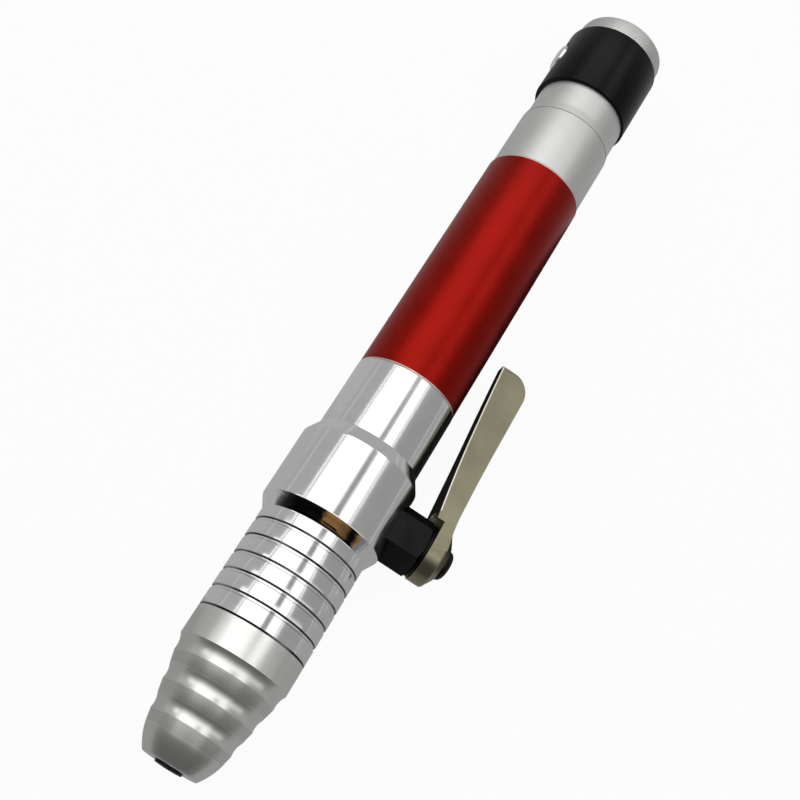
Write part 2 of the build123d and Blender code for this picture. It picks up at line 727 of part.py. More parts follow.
def collet():
    """Spring collet with three slots, drawn back into the spindle's taper."""
    taper_end = COLLET_TAPER_START + COLLET_TAPER_LENGTH
    thread_end = COLLET_STEM_END + COLLET_THREAD_LENGTH
    body = turned(
        [
            (-COLLET_STAND_OUT, SHANK_RADIUS),
            (-COLLET_STAND_OUT, COLLET_FACE_RADIUS - COLLET_CHAMFER),
            (-COLLET_STAND_OUT + COLLET_CHAMFER, COLLET_FACE_RADIUS),
            (COLLET_TAPER_START, COLLET_FACE_RADIUS),
            (taper_end, COLLET_STEM_RADIUS),
            (COLLET_STEM_END, COLLET_STEM_RADIUS),
            (COLLET_STEM_END, COLLET_THREAD_RADIUS),
            (thread_end, COLLET_THREAD_RADIUS),
            (thread_end, 0),
            (COLLET_BORE_DEPTH, 0),
            (COLLET_BORE_DEPTH, SHANK_RADIUS),
        ]
    )
    slot_length = COLLET_SLOT_END + COLLET_STAND_OUT
    middle = (COLLET_SLOT_END - COLLET_STAND_OUT) / 2
    reach = 2 * COLLET_FACE_RADIUS
    slot = at(middle, 0, reach / 2) * Box(slot_length, COLLET_SLOT_WIDTH, reach)
    for cut in about_axis(slot, COLLET_SLOTS):
        body -= cut
    return body


def drawbar():
    """Rod that pulls the collet back, with the head that the closing spring pushes on."""
    thread_end = COLLET_STEM_END + COLLET_THREAD_LENGTH + FACE_GAP
    neck = COLLET_STEM_RADIUS - SLIDE_GAP
    body = turned(
        [
            (COLLET_STEM_END, COLLET_THREAD_RADIUS + THREAD_GAP),
            (COLLET_STEM_END, COLLET_STEM_RADIUS),
            (spring_chamber_start, COLLET_STEM_RADIUS),
            (spring_chamber_start, neck),
            (drawbar_head_start, neck),
            (drawbar_head_start, DRAWBAR_HEAD_RADIUS),
            (drawbar_head_end, DRAWBAR_HEAD_RADIUS),
            (drawbar_head_end, 0),
            (thread_end, 0),
            (thread_end, COLLET_THREAD_RADIUS + THREAD_GAP),
        ]
    )
    return body - side_rod(cross_pin_x, -SPINDLE_RADIUS, SPINDLE_RADIUS, CROSS_PIN_RADIUS)


def release_collar():
    """Sliding collar on the spindle that the shift ring pushes to open the collet."""
    body = tube(release_start, release_end, SPINDLE_RADIUS + SLIDE_GAP, release_radius)
    return body - side_rod(cross_pin_x, -2 * SPINDLE_RADIUS, 2 * SPINDLE_RADIUS, CROSS_PIN_RADIUS)


def cross_pin():
    """Pin through the release collar, the spindle's slots and the drawbar."""
    reach = release_radius - FACE_GAP
    return side_rod(cross_pin_x, -reach, reach, CROSS_PIN_RADIUS - THREAD_GAP)


def closing_spring():
    """Coil spring that pushes the drawbar's head back and keeps the collet shut."""
    first = spring_chamber_start + SPRING_WIRE_RADIUS + SPRING_SEAT_GAP
    last = drawbar_head_start - SPRING_WIRE_RADIUS - SPRING_SEAT_GAP
    height = last - first
    path = Helix(pitch=height / SPRING_TURNS, height=height, radius=SPRING_MEAN_RADIUS)
    wire = sweep(Plane(path @ 0, z_dir=path % 0) * Circle(SPRING_WIRE_RADIUS), path=path)
    return at(first) * Rot(0, 90, 0) * wire


# ---- Lever and shift ring -----------------------------------------------------------------------

def shift_ring():
    """Brass ring that the cam pin slides along the casing."""
    flange_start = release_end + RING_FLANGE_GAP
    body = turned(
        [
            (ring_start, RING_INNER_RADIUS),
            (ring_start, ring_radius - EDGE_CHAMFER),
            (ring_start + EDGE_CHAMFER, ring_radius),
            (ring_end - EDGE_CHAMFER, ring_radius),
            (ring_end, ring_radius - EDGE_CHAMFER),
            (ring_end, RING_INNER_RADIUS),
            (flange_start + RING_FLANGE, RING_INNER_RADIUS),
            (flange_start + RING_FLANGE, RING_FLANGE_RADIUS),
            (flange_start, RING_FLANGE_RADIUS),
            (flange_start, RING_INNER_RADIUS),
        ]
    )
    half = CAM_PIN_RADIUS + CAM_PIN_GAP
    groove_bottom = ring_radius - RING_GROOVE_DEPTH
    return body - tube(cam_pin_x - half, cam_pin_x + half, groove_bottom, ring_radius + CUT_CLEAR)


def cam_shaft():
    """Shaft of the lever: flange and off-centre pin inside, two flats and a tapped hole outside."""
    flange_start = bush_start + FACE_GAP
    flange_end = flange_start + CAM_FLANGE
    shaft_end = eye_wall_end
    body = side_rod(pivot_x, flange_start, flange_end, CAM_FLANGE_RADIUS)
    body += side_rod(pivot_x, flange_start, shaft_end, CAM_SHAFT_RADIUS)
    square = at(pivot_x, -(lever_seat + shaft_end) / 2)
    waste = square * Box(3 * CAM_SHAFT_RADIUS, shaft_end - lever_seat, 3 * CAM_SHAFT_RADIUS)
    waste -= square * Box(3 * CAM_SHAFT_RADIUS, shaft_end - lever_seat, DRIVE_FLATS)
    body -= waste
    pin_end = ring_radius - RING_GROOVE_DEPTH + CAM_PIN_END_GAP
    body += side_rod(cam_pin_x, pin_end, flange_start, CAM_PIN_RADIUS, cam_pin_z)
    return body - side_rod(pivot_x, shaft_end - SCREW_DEPTH - FACE_GAP, shaft_end, SCREW_RADIUS)


def lever():
    """Lever: domed eye over the cam shaft and a tapering arm that lies along the grip."""
    tip_x = pivot_x + ARM_REACH
    neck_x = pivot_x + SPOT_FACE_RADIUS
    middle_x = (neck_x + tip_x) / 2
    ramp_x = pivot_x + ARM_RAMP_END
    round_x = tip_x - ARM_TIP_ROUND
    side = [
        Polyline((round_x, -ARM_OUTER_TIP), (ramp_x, -ARM_OUTER_NECK), (pivot_x, -eye_wall_end)),
        Polyline((pivot_x, -eye_wall_end), (pivot_x, -lever_seat), (neck_x, -lever_seat)),
        Line((neck_x, -lever_seat), (neck_x, -ARM_INNER_NECK)),
        ThreePointArc((neck_x, -ARM_INNER_NECK), (middle_x, -ARM_INNER_MIDDLE), (tip_x, -ARM_INNER_TIP)),
        Line((tip_x, -ARM_INNER_TIP), (tip_x, -ARM_OUTER_TIP + ARM_TIP_ROUND)),
        JernArc((tip_x, -ARM_OUTER_TIP + ARM_TIP_ROUND), (0, -1), ARM_TIP_ROUND, -90),
    ]
    thick = 2 * EYE_RADIUS
    arm = at(0, 0, -thick / 2) * extrude(make_face(side), thick)
    plan = make_face(
        Polyline(
            (pivot_x, -ARM_EYE_HALF_WIDTH),
            (neck_x, -ARM_NECK_HALF_WIDTH),
            (pivot_x + ARM_WAIST_REACH, -ARM_WAIST_HALF_WIDTH),
            (tip_x, -ARM_TIP_HALF_WIDTH),
            (tip_x, ARM_TIP_HALF_WIDTH),
            (pivot_x + ARM_WAIST_REACH, ARM_WAIST_HALF_WIDTH),
            (neck_x, ARM_NECK_HALF_WIDTH),
            (pivot_x, ARM_EYE_HALF_WIDTH),
            close=True,
        )
    )
    arm &= Rot(90, 0, 0) * extrude(plan, eye_top + CUT_CLEAR)
    eye = side_turned(
        pivot_x,
        [
            (0, lever_seat),
            (EYE_RADIUS, lever_seat),
            (EYE_RADIUS, eye_wall_end - EYE_EDGE_ROUND),
            (EYE_RADIUS - EYE_EDGE_ROUND, eye_wall_end),
            (EYE_TOP_RADIUS, eye_top),
            (0, eye_top),
        ],
    )
    body = arm + eye
    opening = at(pivot_x, -(lever_seat + eye_wall_end) / 2)
    double_d = side_rod(pivot_x, lever_seat, eye_wall_end + FACE_GAP, CAM_SHAFT_RADIUS + THREAD_GAP)
    double_d &= opening * Box(3 * EYE_RADIUS, 2 * EYE_WALL, DRIVE_FLATS + 2 * THREAD_GAP)
    body -= double_d
    return body - side_rod(pivot_x, lever_seat, eye_top, SCREW_RADIUS + FACE_GAP)


def friction_washer():
    """Washer between the bush and the lever's eye."""
    start = HEX_END + THREAD_GAP
    outer = side_rod(pivot_x, start, start + WASHER, WASHER_RADIUS)
    return outer - side_rod(pivot_x, start, start + WASHER, CAM_SHAFT_RADIUS + FACE_GAP)


def lever_screw():
    """Button-head screw with a hexagon socket that holds the lever on its shaft."""
    start = eye_wall_end - SCREW_DEPTH
    top = eye_top + SCREW_HEAD
    shank = side_rod(pivot_x, start, eye_top, SCREW_RADIUS - THREAD_GAP)
    head = side_rod(pivot_x, eye_top, top, SCREW_HEAD_RADIUS)
    head = fillet(head.edges().filter_by(GeomType.CIRCLE).sort_by(Axis.Y)[0], SCREW_DOME)
    socket = at(pivot_x, -top + SCREW_SOCKET_DEPTH) * Rot(90, 0, 0)
    socket *= extrude(RegularPolygon(SCREW_SOCKET / math.sqrt(3), 6), SCREW_HEAD)
    return shank + head - socket


# ---- Latch of the flexible shaft ----------------------------------------------------------------

def latch_plate():
    """Ring plate whose far side hooks into the flexible shaft's fitting."""
    start = latch_x - LATCH_THICKNESS / 2
    ring = tube(start, start + LATCH_THICKNESS, latch_opening_radius, latch_radius)
    return at(0, LATCH_TRAVEL) * ring


def lock_button():
    """Domed button on the latch plate."""
    top = BAND_RADIUS + BAND_OFFSET + BUTTON_STAND_OUT
    body = side_rod(latch_x, -top, -button_seat, BUTTON_RADIUS)
    rim = body.edges().filter_by(GeomType.CIRCLE).sort_by(Axis.Y)[-1]
    return fillet(rim, BUTTON_DOME)


def leaf_spring():
    """Bowed strip under the band that pushes the latch plate back."""
    plate_edge = latch_radius - LATCH_TRAVEL
    foot = math.sqrt((band_bore_radius - FACE_GAP) ** 2 - LEAF_HALF_SPAN**2) - LEAF_THICKNESS
    crown = plate_edge + FACE_GAP
    inner = ThreePointArc((-foot, LEAF_HALF_SPAN), (-crown, 0), (-foot, -LEAF_HALF_SPAN))
    outer = ThreePointArc(
        (-foot - LEAF_THICKNESS, LEAF_HALF_SPAN),
        (-crown - LEAF_THICKNESS, 0),
        (-foot - LEAF_THICKNESS, -LEAF_HALF_SPAN),
    )
    ends = [Line(inner @ 0, outer @ 0), Line(inner @ 1, outer @ 1)]
    width = LATCH_THICKNESS - LATCH_GAP
    strip = extrude(make_face([inner, outer, *ends]), width)
    return at(latch_x - width / 2) * (Plane.YZ * strip)


NODES = {
    "nose_cap": nose_cap(),
    "shaft_seal": shaft_seal(),
    "front_housing": front_housing(),
    "pivot_bush": pivot_bush(),
    "grip_tube": grip_tube(),
    "grip_o_rings": grip_o_rings(),
    "rear_sleeve": rear_sleeve(),
    "rear_end_cap": rear_end_cap(),
    "lock_band": lock_band(),
    "front_outer_races": outer_races(front_bearings),
    "front_outer_spacer": outer_spacer(front_bearings),
    "front_balls": balls(front_bearings),
    "front_cages": cages(front_bearings),
    "front_inner_races": inner_races(front_bearings),
    "front_inner_spacer": inner_spacer(front_bearings),
    "rear_outer_races": outer_races(rear_bearings),
    "rear_outer_spacer": outer_spacer(rear_bearings),
    "rear_balls": balls(rear_bearings),
    "rear_cages": cages(rear_bearings),
    "rear_inner_races": inner_races(rear_bearings),
    "rear_inner_spacer": inner_spacer(rear_bearings),
    "preload_washer": preload_washer(),
    "bearing_retainer": bearing_retainer(),
    "spindle": spindle(),
    "spindle_nut": spindle_nut(),
    "drive_shaft": drive_shaft(),
    "shaft_circlip": shaft_circlip(),
    "drive_coupling": drive_coupling(),
    "coupling_pin": coupling_pin(),
    "collet": collet(),
    "drawbar": drawbar(),
    "release_collar": release_collar(),
    "cross_pin": cross_pin(),
    "closing_spring": closing_spring(),
    "shift_ring": shift_ring(),
    "cam_shaft": cam_shaft(),
    "lever": lever(),
    "friction_washer": friction_washer(),
    "lever_screw": lever_screw(),
    "latch_plate": latch_plate(),
    "lock_button": lock_button(),
    "leaf_spring": leaf_spring(),
}

os.makedirs("parts", exist_ok=True)
for name, shape in NODES.items():
    export_step(shape, f"parts/{name}.step")
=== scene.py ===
"""Dresses the packed die grinder handpiece: turned shells, lever, latch, finishes and a plain studio."""

import json
import logging
import math
from contextlib import contextmanager
from dataclasses import dataclass
from enum import Enum
from typing import Callable, ClassVar, Iterator, Sequence

import bmesh
import bpy
from mathutils import Matrix, Vector


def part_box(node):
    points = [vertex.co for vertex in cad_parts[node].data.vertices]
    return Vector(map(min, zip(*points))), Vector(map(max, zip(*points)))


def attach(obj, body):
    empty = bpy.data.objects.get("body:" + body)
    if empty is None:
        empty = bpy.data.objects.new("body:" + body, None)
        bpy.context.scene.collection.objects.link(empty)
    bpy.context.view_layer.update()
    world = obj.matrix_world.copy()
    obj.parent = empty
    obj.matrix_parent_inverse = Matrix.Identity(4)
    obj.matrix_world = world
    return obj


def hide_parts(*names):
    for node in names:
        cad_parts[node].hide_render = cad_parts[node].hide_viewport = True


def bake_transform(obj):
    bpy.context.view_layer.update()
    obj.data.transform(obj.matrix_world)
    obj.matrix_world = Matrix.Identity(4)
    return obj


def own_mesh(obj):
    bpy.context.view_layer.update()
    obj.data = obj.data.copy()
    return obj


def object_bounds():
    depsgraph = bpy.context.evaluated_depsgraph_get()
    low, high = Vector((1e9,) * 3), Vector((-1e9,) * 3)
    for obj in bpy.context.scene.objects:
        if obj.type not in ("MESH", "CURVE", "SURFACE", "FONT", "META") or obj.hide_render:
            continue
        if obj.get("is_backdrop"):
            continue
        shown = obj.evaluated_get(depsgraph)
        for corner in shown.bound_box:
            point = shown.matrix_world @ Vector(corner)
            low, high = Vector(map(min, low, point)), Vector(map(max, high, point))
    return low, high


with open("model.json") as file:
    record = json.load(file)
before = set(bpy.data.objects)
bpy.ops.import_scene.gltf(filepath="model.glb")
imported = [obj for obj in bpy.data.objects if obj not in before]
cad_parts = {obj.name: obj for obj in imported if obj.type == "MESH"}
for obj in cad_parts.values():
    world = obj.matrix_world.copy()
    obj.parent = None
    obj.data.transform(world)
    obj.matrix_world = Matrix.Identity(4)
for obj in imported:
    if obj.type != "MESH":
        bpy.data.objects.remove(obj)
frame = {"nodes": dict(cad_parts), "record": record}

LOG = logging.getLogger("handpiece")
MM = 0.001
MERGE = 2e-7  # metres within which vertices become one
TOUCH = 1e-3  # millimetres within which a vertex counts as lying at a corner
MICRON = 1e-3  # a micrometre, in millimetres
PAST = 1.0  # millimetres that a tool runs past the metal
ORIGIN = (0.0, 0.0, 0.0)

Point = Sequence[float]
Pair = tuple[float, float]
Triple = tuple[float, float, float]
Colour = Triple
Socket = bpy.types.NodeSocket
Sockets = bpy.types.bpy_prop_collection

# For each input of a node, by name or number: the socket that it is linked to, or its value.
Feeds = dict[str | int, object]

# A corner of a turned outline, in millimetres: its distance along the turning line, its radius and,
# where it is rounded, how far the rounding runs back along its sides.
Corner = tuple[float, ...]


class Line(Enum):
    """Lines that pieces are turned about, as (along, outwards) directions."""

    SPINDLE = ((1.0, 0.0, 0.0), (0.0, 1.0, 0.0))
    PIVOT = ((0.0, -1.0, 0.0), (1.0, 0.0, 0.0))
    BUTTON = ((0.0, 1.0, 0.0), (1.0, 0.0, 0.0))


class Join(Enum):
    """Ways of working one piece against another."""

    CUT = "DIFFERENCE"
    KEEP_COMMON = "INTERSECT"
    WELD = "UNION"


def clear_selection() -> None:
    """Leaves object mode with nothing selected."""
    if bpy.context.object is not None and bpy.context.object.mode != "OBJECT":
        bpy.ops.object.mode_set(mode="OBJECT")
    bpy.ops.object.select_all(action="DESELECT")


def box_mm(node: str) -> tuple[Vector, Vector]:
    """Lowest and highest corner of a node at rest.

    Args:
        node: name of the node in the packed model.

    Returns:
        The two corners, in millimetres.
    """
    low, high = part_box(node)
    return low / MM, high / MM


def middle_x(node: str) -> float:
    """Middle of a node along the spindle, in millimetres."""
    low, high = box_mm(node)
    return (low.x + high.x) / 2


class Workpiece:
    """One mesh on the bench, shaped with edit-mode operators and modifiers."""

    def __init__(self, name: str, points: Sequence[Point]) -> None:
        """Draws a closed wire by extruding a single vertex from point to point.

        Args:
            name: name of the finished piece.
            points: places in millimetres.
        """
        clear_selection()
        bpy.ops.mesh.primitive_plane_add(size=MM)
        self.object: bpy.types.Object = bpy.context.object
        self.object.name = name
        self.object.data.name = name
        places = [Vector(point) * MM for point in points]
        with self.editing():
            bpy.ops.mesh.merge(type="CENTER")
        with self.editing():
            bpy.ops.transform.translate(value=places[0])
            for here, there in zip(places, places[1:]):
                bpy.ops.mesh.extrude_region_move(TRANSFORM_OT_translate={"value": there - here})
            self.pick_corners([points[0], points[-1]])
            bpy.ops.mesh.edge_face_add()

    def select(self) -> None:
        """Makes this piece the selected and active one."""
        clear_selection()
        self.object.select_set(True)
        bpy.context.view_layer.objects.active = self.object

    @contextmanager
    def editing(self, mode: str = "VERT") -> Iterator[None]:
        """Opens the piece in edit mode with everything selected.

        Args:
            mode: what is selected, VERT, EDGE or FACE.

        Returns:
            A context in which mesh operators act on this piece.
        """
        self.select()
        bpy.ops.object.mode_set(mode="EDIT")
        bpy.ops.mesh.select_mode(type=mode)
        bpy.ops.mesh.select_all(action="SELECT")
        yield
        bpy.ops.object.mode_set(mode="OBJECT")

    def pick(self, kind: str, test: Callable[[Vector], bool]) -> None:
        """Selects what passes a test, inside an editing context.

        Args:
            kind: verts or faces.
            test: called with the middle of each one, in millimetres.
        """
        bpy.ops.mesh.select_all(action="DESELECT")
        mesh = bmesh.from_edit_mesh(self.object.data)
        for item in getattr(mesh, kind):
            middle = item.co if kind == "verts" else item.calc_center_median()
            if test(middle / MM):
                item.select_set(True)
        bmesh.update_edit_mesh(self.object.data)

    def pick_corners(self, points: Sequence[Point]) -> None:
        """Selects the vertices at some points, inside an editing context."""
        corners = [Vector(point) for point in points]
        self.pick("verts", lambda at: min((at - corner).length for corner in corners) < TOUCH)

    def clean(self) -> None:
        """Merges doubled vertices and turns every face outwards, inside an editing context."""
        bpy.ops.mesh.select_all(action="SELECT")
        bpy.ops.mesh.remove_doubles(threshold=MERGE)
        bpy.ops.mesh.normals_make_consistent(inside=False)

    def ease(self, points: Sequence[Point], width: float, segments: int = 3) -> None:
        """Rounds corners of the drawn wire.

        Args:
            points: the corners, in millimetres.
            width: how far the rounding runs back along the sides, in millimetres.
            segments: pieces in each rounding.
        """
        with self.editing():
            self.pick_corners(points)
            bpy.ops.mesh.bevel(offset=width * MM, segments=segments, affect="VERTICES")

    def thicken(self, way: Point) -> "Workpiece":
        """Fills the drawn outline and extrudes it into a block.

        Args:
            way: the extrusion, in millimetres.

        Returns:
            This piece.
        """
        with self.editing():
            bpy.ops.mesh.edge_face_add()
            bpy.ops.mesh.extrude_region_move(TRANSFORM_OT_translate={"value": Vector(way) * MM})
            self.clean()
        return self

    def modify(self, kind: str, **settings: object) -> None:
        """Adds a modifier and applies it.

        Args:
            kind: the modifier's type.
            settings: its settings.
        """
        self.select()
        step = self.object.modifiers.new(kind.lower(), kind)
        for name, value in settings.items():
            setattr(step, name, value)
        bpy.ops.object.modifier_apply(modifier=step.name)

    def work(self, tool: "Workpiece", join: Join) -> None:
        """Cuts, trims or welds with another piece, which is used up."""
        self.modify("BOOLEAN", operation=join.value, solver="EXACT", object=tool.object)
        bpy.data.objects.remove(tool.object)

    def round_edges(self, width: float, segments: int, angle: float) -> None:
        """Rounds every edge sharper than an angle, in degrees, to a width in millimetres."""
        limit = math.radians(angle)
        self.modify("BEVEL", width=width * MM, segments=segments, limit_method="ANGLE", angle_limit=limit)

    def fit(
        self, body: str | None, finish: "Finish", node: str, angle: float = 32.0, flat: bool = False
    ) -> bpy.types.Object:
        """Smooths, dresses and mounts the finished piece.

        Args:
            body: the body that it moves with, or None to leave it unattached.
            finish: its finish.
            node: the node that it stands for.
            angle: largest angle that is shaded smooth, in degrees.
            flat: whether its broad faces are kept flat between their rounded edges.

        Returns:
            The finished object.
        """
        with self.editing():
            self.clean()
        bpy.ops.object.shade_smooth_by_angle(angle=math.radians(angle))
        if flat:
            self.modify("WEIGHTED_NORMAL", keep_sharp=True)
        self.object.data.materials.clear()
        self.object.data.materials.append(finish.material())
        if body:
            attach(self.object, body)
        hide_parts(node)
        LOG.info("%s: %d faces, rides on %s", self.object.name, len(self.object.data.polygons), body)
        return self.object


def turn(
    name: str, outline: Sequence[Corner], line: Line = Line.SPINDLE, centre: Point = ORIGIN, steps: int = 180
) -> Workpiece:
    """Turns a closed outline about a line.

    Args:
        name: name of the piece.
        outline: its corners.
        line: direction to turn about.
        centre: the point on the line that distances along it are measured from.
        steps: segments in the full turn.

    Returns:
        The turned piece.
    """
    along, out = (Vector(way) for way in line.value)
    places = {corner: Vector(centre) + along * corner[0] + out * corner[1] for corner in outline}
    piece = Workpiece(name, list(places.values()))
    for width in sorted({corner[2] for corner in outline if len(corner) > 2}):
        piece.ease([place for corner, place in places.items() if corner[2:] == (width,)], width)
    with piece.editing():
        bpy.ops.mesh.spin(steps=steps, angle=math.tau, center=Vector(centre) * MM, axis=line.value[0])
        piece.clean()
    return piece


def bar(start: float, end: float, radius: float, *ease: float) -> list[Corner]:
    """Outline of a solid bar: its ends, its radius and the rounding of its rims."""
    return [(start, 0.0), (start, radius, *ease), (end, radius, *ease), (end, 0.0)]


def dome(end: float, radius: float, profile: Sequence[Corner]) -> list[Corner]:
    """Corners given by their depth below an end, their inset from a radius and their rounding."""
    return [(end - depth, radius - inset, *ease) for depth, inset, *ease in profile]


def arc(start: Corner, end: Corner, bulge: float, pieces: int = 8) -> list[Corner]:
    """Corners along a shallow arc, without its ends.

    Args:
        start: where the arc starts.
        end: where it ends.
        bulge: how far its middle stands out, or in where it is negative.
        pieces: straight pieces in the arc.

    Returns:
        The corners between the ends.
    """
    run, rise = end[0] - start[0], end[1] - start[1]
    chord = math.hypot(run, rise)
    found = []
    for index in range(1, pieces):
        share = index / pieces
        lift = 4 * bulge * share * (1 - share) / chord
        found.append((start[0] + run * share - lift * rise, start[1] + rise * share + lift * run))
    return found


# ---- Finishes ----


def rgba(colour: Colour, share: float = 1.0, lift: float = 0.0) -> tuple[float, ...]:
    """A linear colour as four numbers, with each part scaled and then raised."""
    return (*(min(1.0, part * share + lift) for part in colour), 1.0)


class Tree:
    """A node tree with short calls for adding nodes."""

    def __init__(self, tree: bpy.types.NodeTree) -> None:
        """Empties the tree that nodes are added to."""
        self.tree = tree
        tree.nodes.clear()

    def node(self, kind: str, feeds: Feeds | None = None, **values: object) -> bpy.types.Node:
        """Adds a node.

        Args:
            kind: the node's type name.
            feeds: what its inputs are given.
            values: properties of the node.

        Returns:
            The new node.
        """
        made = self.tree.nodes.new(kind)
        for name, value in values.items():
            setattr(made, name, value)
        for key, feed in (feeds or {}).items():
            if isinstance(feed, Socket):
                self.tree.links.new(feed, made.inputs[key])
            else:
                made.inputs[key].default_value = feed
        return made

    def maths(self, operation: str, *inputs: object) -> Socket:
        """Result of a Math node on numbers or sockets."""
        return self.node("ShaderNodeMath", dict(enumerate(inputs)), operation=operation).outputs[0]

    def noise(self, vector: Socket, scale: object, detail: float) -> Socket:
        """Value of a Noise Texture."""
        feeds = {"Vector": vector, "Scale": scale, "Detail": detail}
        return self.node("ShaderNodeTexNoise", feeds).outputs["Fac"]

    def slanted(self, vector: Socket, rotation: Point, scale: Point) -> Socket:
        """Coordinates turned and then stretched."""
        feeds = {"Vector": vector, "Rotation": rotation, "Scale": scale}
        return self.node("ShaderNodeMapping", feeds).outputs[0]

    def parts(self, vector: Socket) -> Sockets:
        """Outputs X, Y and Z of a vector."""
        return self.node("ShaderNodeSeparateXYZ", {0: vector}).outputs

    def ramp(
        self, value: Socket, start: float, end: float, low: float = 0.0, high: float = 1.0, soft: bool = False
    ) -> Socket:
        """Maps a value to a range.

        Args:
            value: the value.
            start: where the ramp starts.
            end: where it ends.
            low: its result at the start and before.
            high: its result at the end and after.
            soft: whether it eases in and out.

        Returns:
            The result.
        """
        feeds = {"Value": value, "From Min": start, "From Max": end, "To Min": low, "To Max": high}
        kind = "SMOOTHSTEP" if soft else "LINEAR"
        return self.node("ShaderNodeMapRange", feeds, interpolation_type=kind).outputs[0]

    def mix(self, share: Socket, first: object, second: object) -> Socket:
        """Mixes a share of the second colour into the first."""
        feeds = {"Factor": share, "A": first, "B": second}
        return self.node("ShaderNodeMix", feeds, data_type="RGBA", clamp_factor=True).outputs["Result"]

    def blend(self, share: Socket, first: bpy.types.Node, second: bpy.types.Node) -> Socket:
        """Mixes a share of the second shader into the first."""
        feeds = {0: share, 1: first.outputs[0], 2: second.outputs[0]}
        return self.node("ShaderNodeMixShader", feeds).outputs[0]


def new_material(name: str) -> tuple[bpy.types.Material, Tree]:
    """A new material and its empty tree."""
    made = bpy.data.materials.new(name)
    made.use_nodes = True
    return made, Tree(made.node_tree)


@dataclass(frozen=True)
class Marks:
    """A shader node group that all finishes share."""

    name: str  # name of the group
    inputs: dict[str, float]  # its float inputs and their defaults, after a Vector input
    # Adds its nodes, given the tree and the inputs, and returns the value of each output.
    build: Callable[[Tree, Sockets], dict[str, Socket]]

    def group(self) -> bpy.types.NodeTree:
        """The group, built the first time that it is asked for.

        Returns:
            The shared group.
        """
        if self.name in bpy.data.node_groups:
            return bpy.data.node_groups[self.name]
        made = bpy.data.node_groups.new(self.name, "ShaderNodeTree")
        made.interface.new_socket("Vector", in_out="INPUT", socket_type="NodeSocketVector")
        for key, value in self.inputs.items():
            socket = made.interface.new_socket(key, in_out="INPUT", socket_type="NodeSocketFloat")
            socket.default_value = value
        tree = Tree(made)
        results = self.build(tree, tree.node("NodeGroupInput").outputs)
        for key in results:
            made.interface.new_socket(key, in_out="OUTPUT", socket_type="NodeSocketFloat")
        tree.node("NodeGroupOutput", results)
        return made

    def on(self, tree: Tree, place: Socket, **values: float) -> Sockets:
        """Places the group in a material.

        Args:
            tree: the material's tree.
            place: the coordinates that it reads.
            values: values of its inputs.

        Returns:
            The group's outputs.
        """
        return tree.node("ShaderNodeGroup", {"Vector": place, **values}, node_tree=self.group()).outputs


def build_turning(tree: Tree, given: Sockets) -> dict[str, Socket]:
    """Rings left by the lathe tool: a height that changes along the spindle line only."""
    parts = tree.parts(given["Vector"])
    along = tree.maths("DIVIDE", parts["X"], tree.maths("MULTIPLY", given["Pitch"], MM))
    drift = tree.maths("DIVIDE", given["Drift"], MM)
    side, lift = (tree.maths("MULTIPLY", parts[axis], drift) for axis in "YZ")
    place = tree.node("ShaderNodeCombineXYZ", {0: along, 1: side, 2: lift}).outputs[0]
    return {"Height": tree.noise(place, 1.0, 3.0), "Streak": tree.noise(place, 0.22, 1.0)}


def build_handling(tree: Tree, given: Sockets) -> dict[str, Socket]:
    """Faint marks of handling: cloudy patches and fine scratches."""
    place = given["Vector"]
    cloud = tree.noise(place, tree.maths("DIVIDE", 1 / MM, given["Patch"]), 2.5)
    slant = tree.slanted(place, (0.3, 0.5, 0.7), (1.0, 9.0, 9.0))
    thread = tree.noise(slant, tree.maths("DIVIDE", 1 / MM, given["Scratch"]), 2.0)
    return {"Patches": cloud, "Scratches": tree.ramp(thread, 0.70, 0.80)}


def build_grain(tree: Tree, given: Sockets) -> dict[str, Socket]:
    """The even fine grain of blasted, etched or moulded surfaces."""
    return {"Height": tree.noise(given["Vector"], tree.maths("DIVIDE", 1 / MM, given["Size"]), 2.0)}


def build_seam(tree: Tree, given: Sockets) -> dict[str, Socket]:
    """Lines painted round the spindle: painted shade in seams, grooves and creases, painted highlights on
    chamfers, or turned lines; one line, or several at a pitch.
    """
    x = tree.maths("DIVIDE", tree.parts(given["Vector"])["X"], MM)
    along = tree.maths("SUBTRACT", x, given["Start"])
    count = tree.maths("ROUND", tree.maths("DIVIDE", along, given["Pitch"]))
    count = tree.maths("MAXIMUM", tree.maths("MINIMUM", count, given["Last"]), 0.0)
    nearest = tree.maths("MULTIPLY", count, given["Pitch"])
    away = tree.maths("ABSOLUTE", tree.maths("SUBTRACT", along, nearest))
    line = tree.ramp(tree.maths("DIVIDE", away, given["Width"]), 0.35, 0.6, 1.0, 0.0, soft=True)
    uneven = tree.ramp(tree.noise(given["Vector"], 160.0, 1.5), 0.32, 0.52, 0.55)
    return {"Mask": tree.maths("MULTIPLY", tree.maths("MULTIPLY", line, uneven), given["Strength"])}


TURNING = Marks("Turning marks", {"Pitch": 0.25, "Drift": 0.02}, build_turning)
HANDLING = Marks("Handling", {"Patch": 6.0, "Scratch": 1.5}, build_handling)
GRAIN = Marks("Fine grain", {"Size": 0.12}, build_grain)
SEAM_INPUTS = {"Start": 0.0, "Pitch": 1.0, "Last": 0.0, "Width": 0.3, "Strength": 1.0}
SEAM = Marks("Seam lines", SEAM_INPUTS, build_seam)


@dataclass(frozen=True)
class Seam:
    """A line painted in a seam, or in a row of like grooves, in millimetres: painted shade, a painted
    highlight or a turned line.
    """

    start: float  # place of the first line along the spindle
    width: float  # width of a line
    strength: float  # how strongly the line's colour shows, from 0 to 1
    pitch: float = 1.0  # distance between lines
    last: int = 0  # number of the last line, where the first is 0
    colour: Colour = (0.006, 0.006, 0.006)  # linear colour of the line


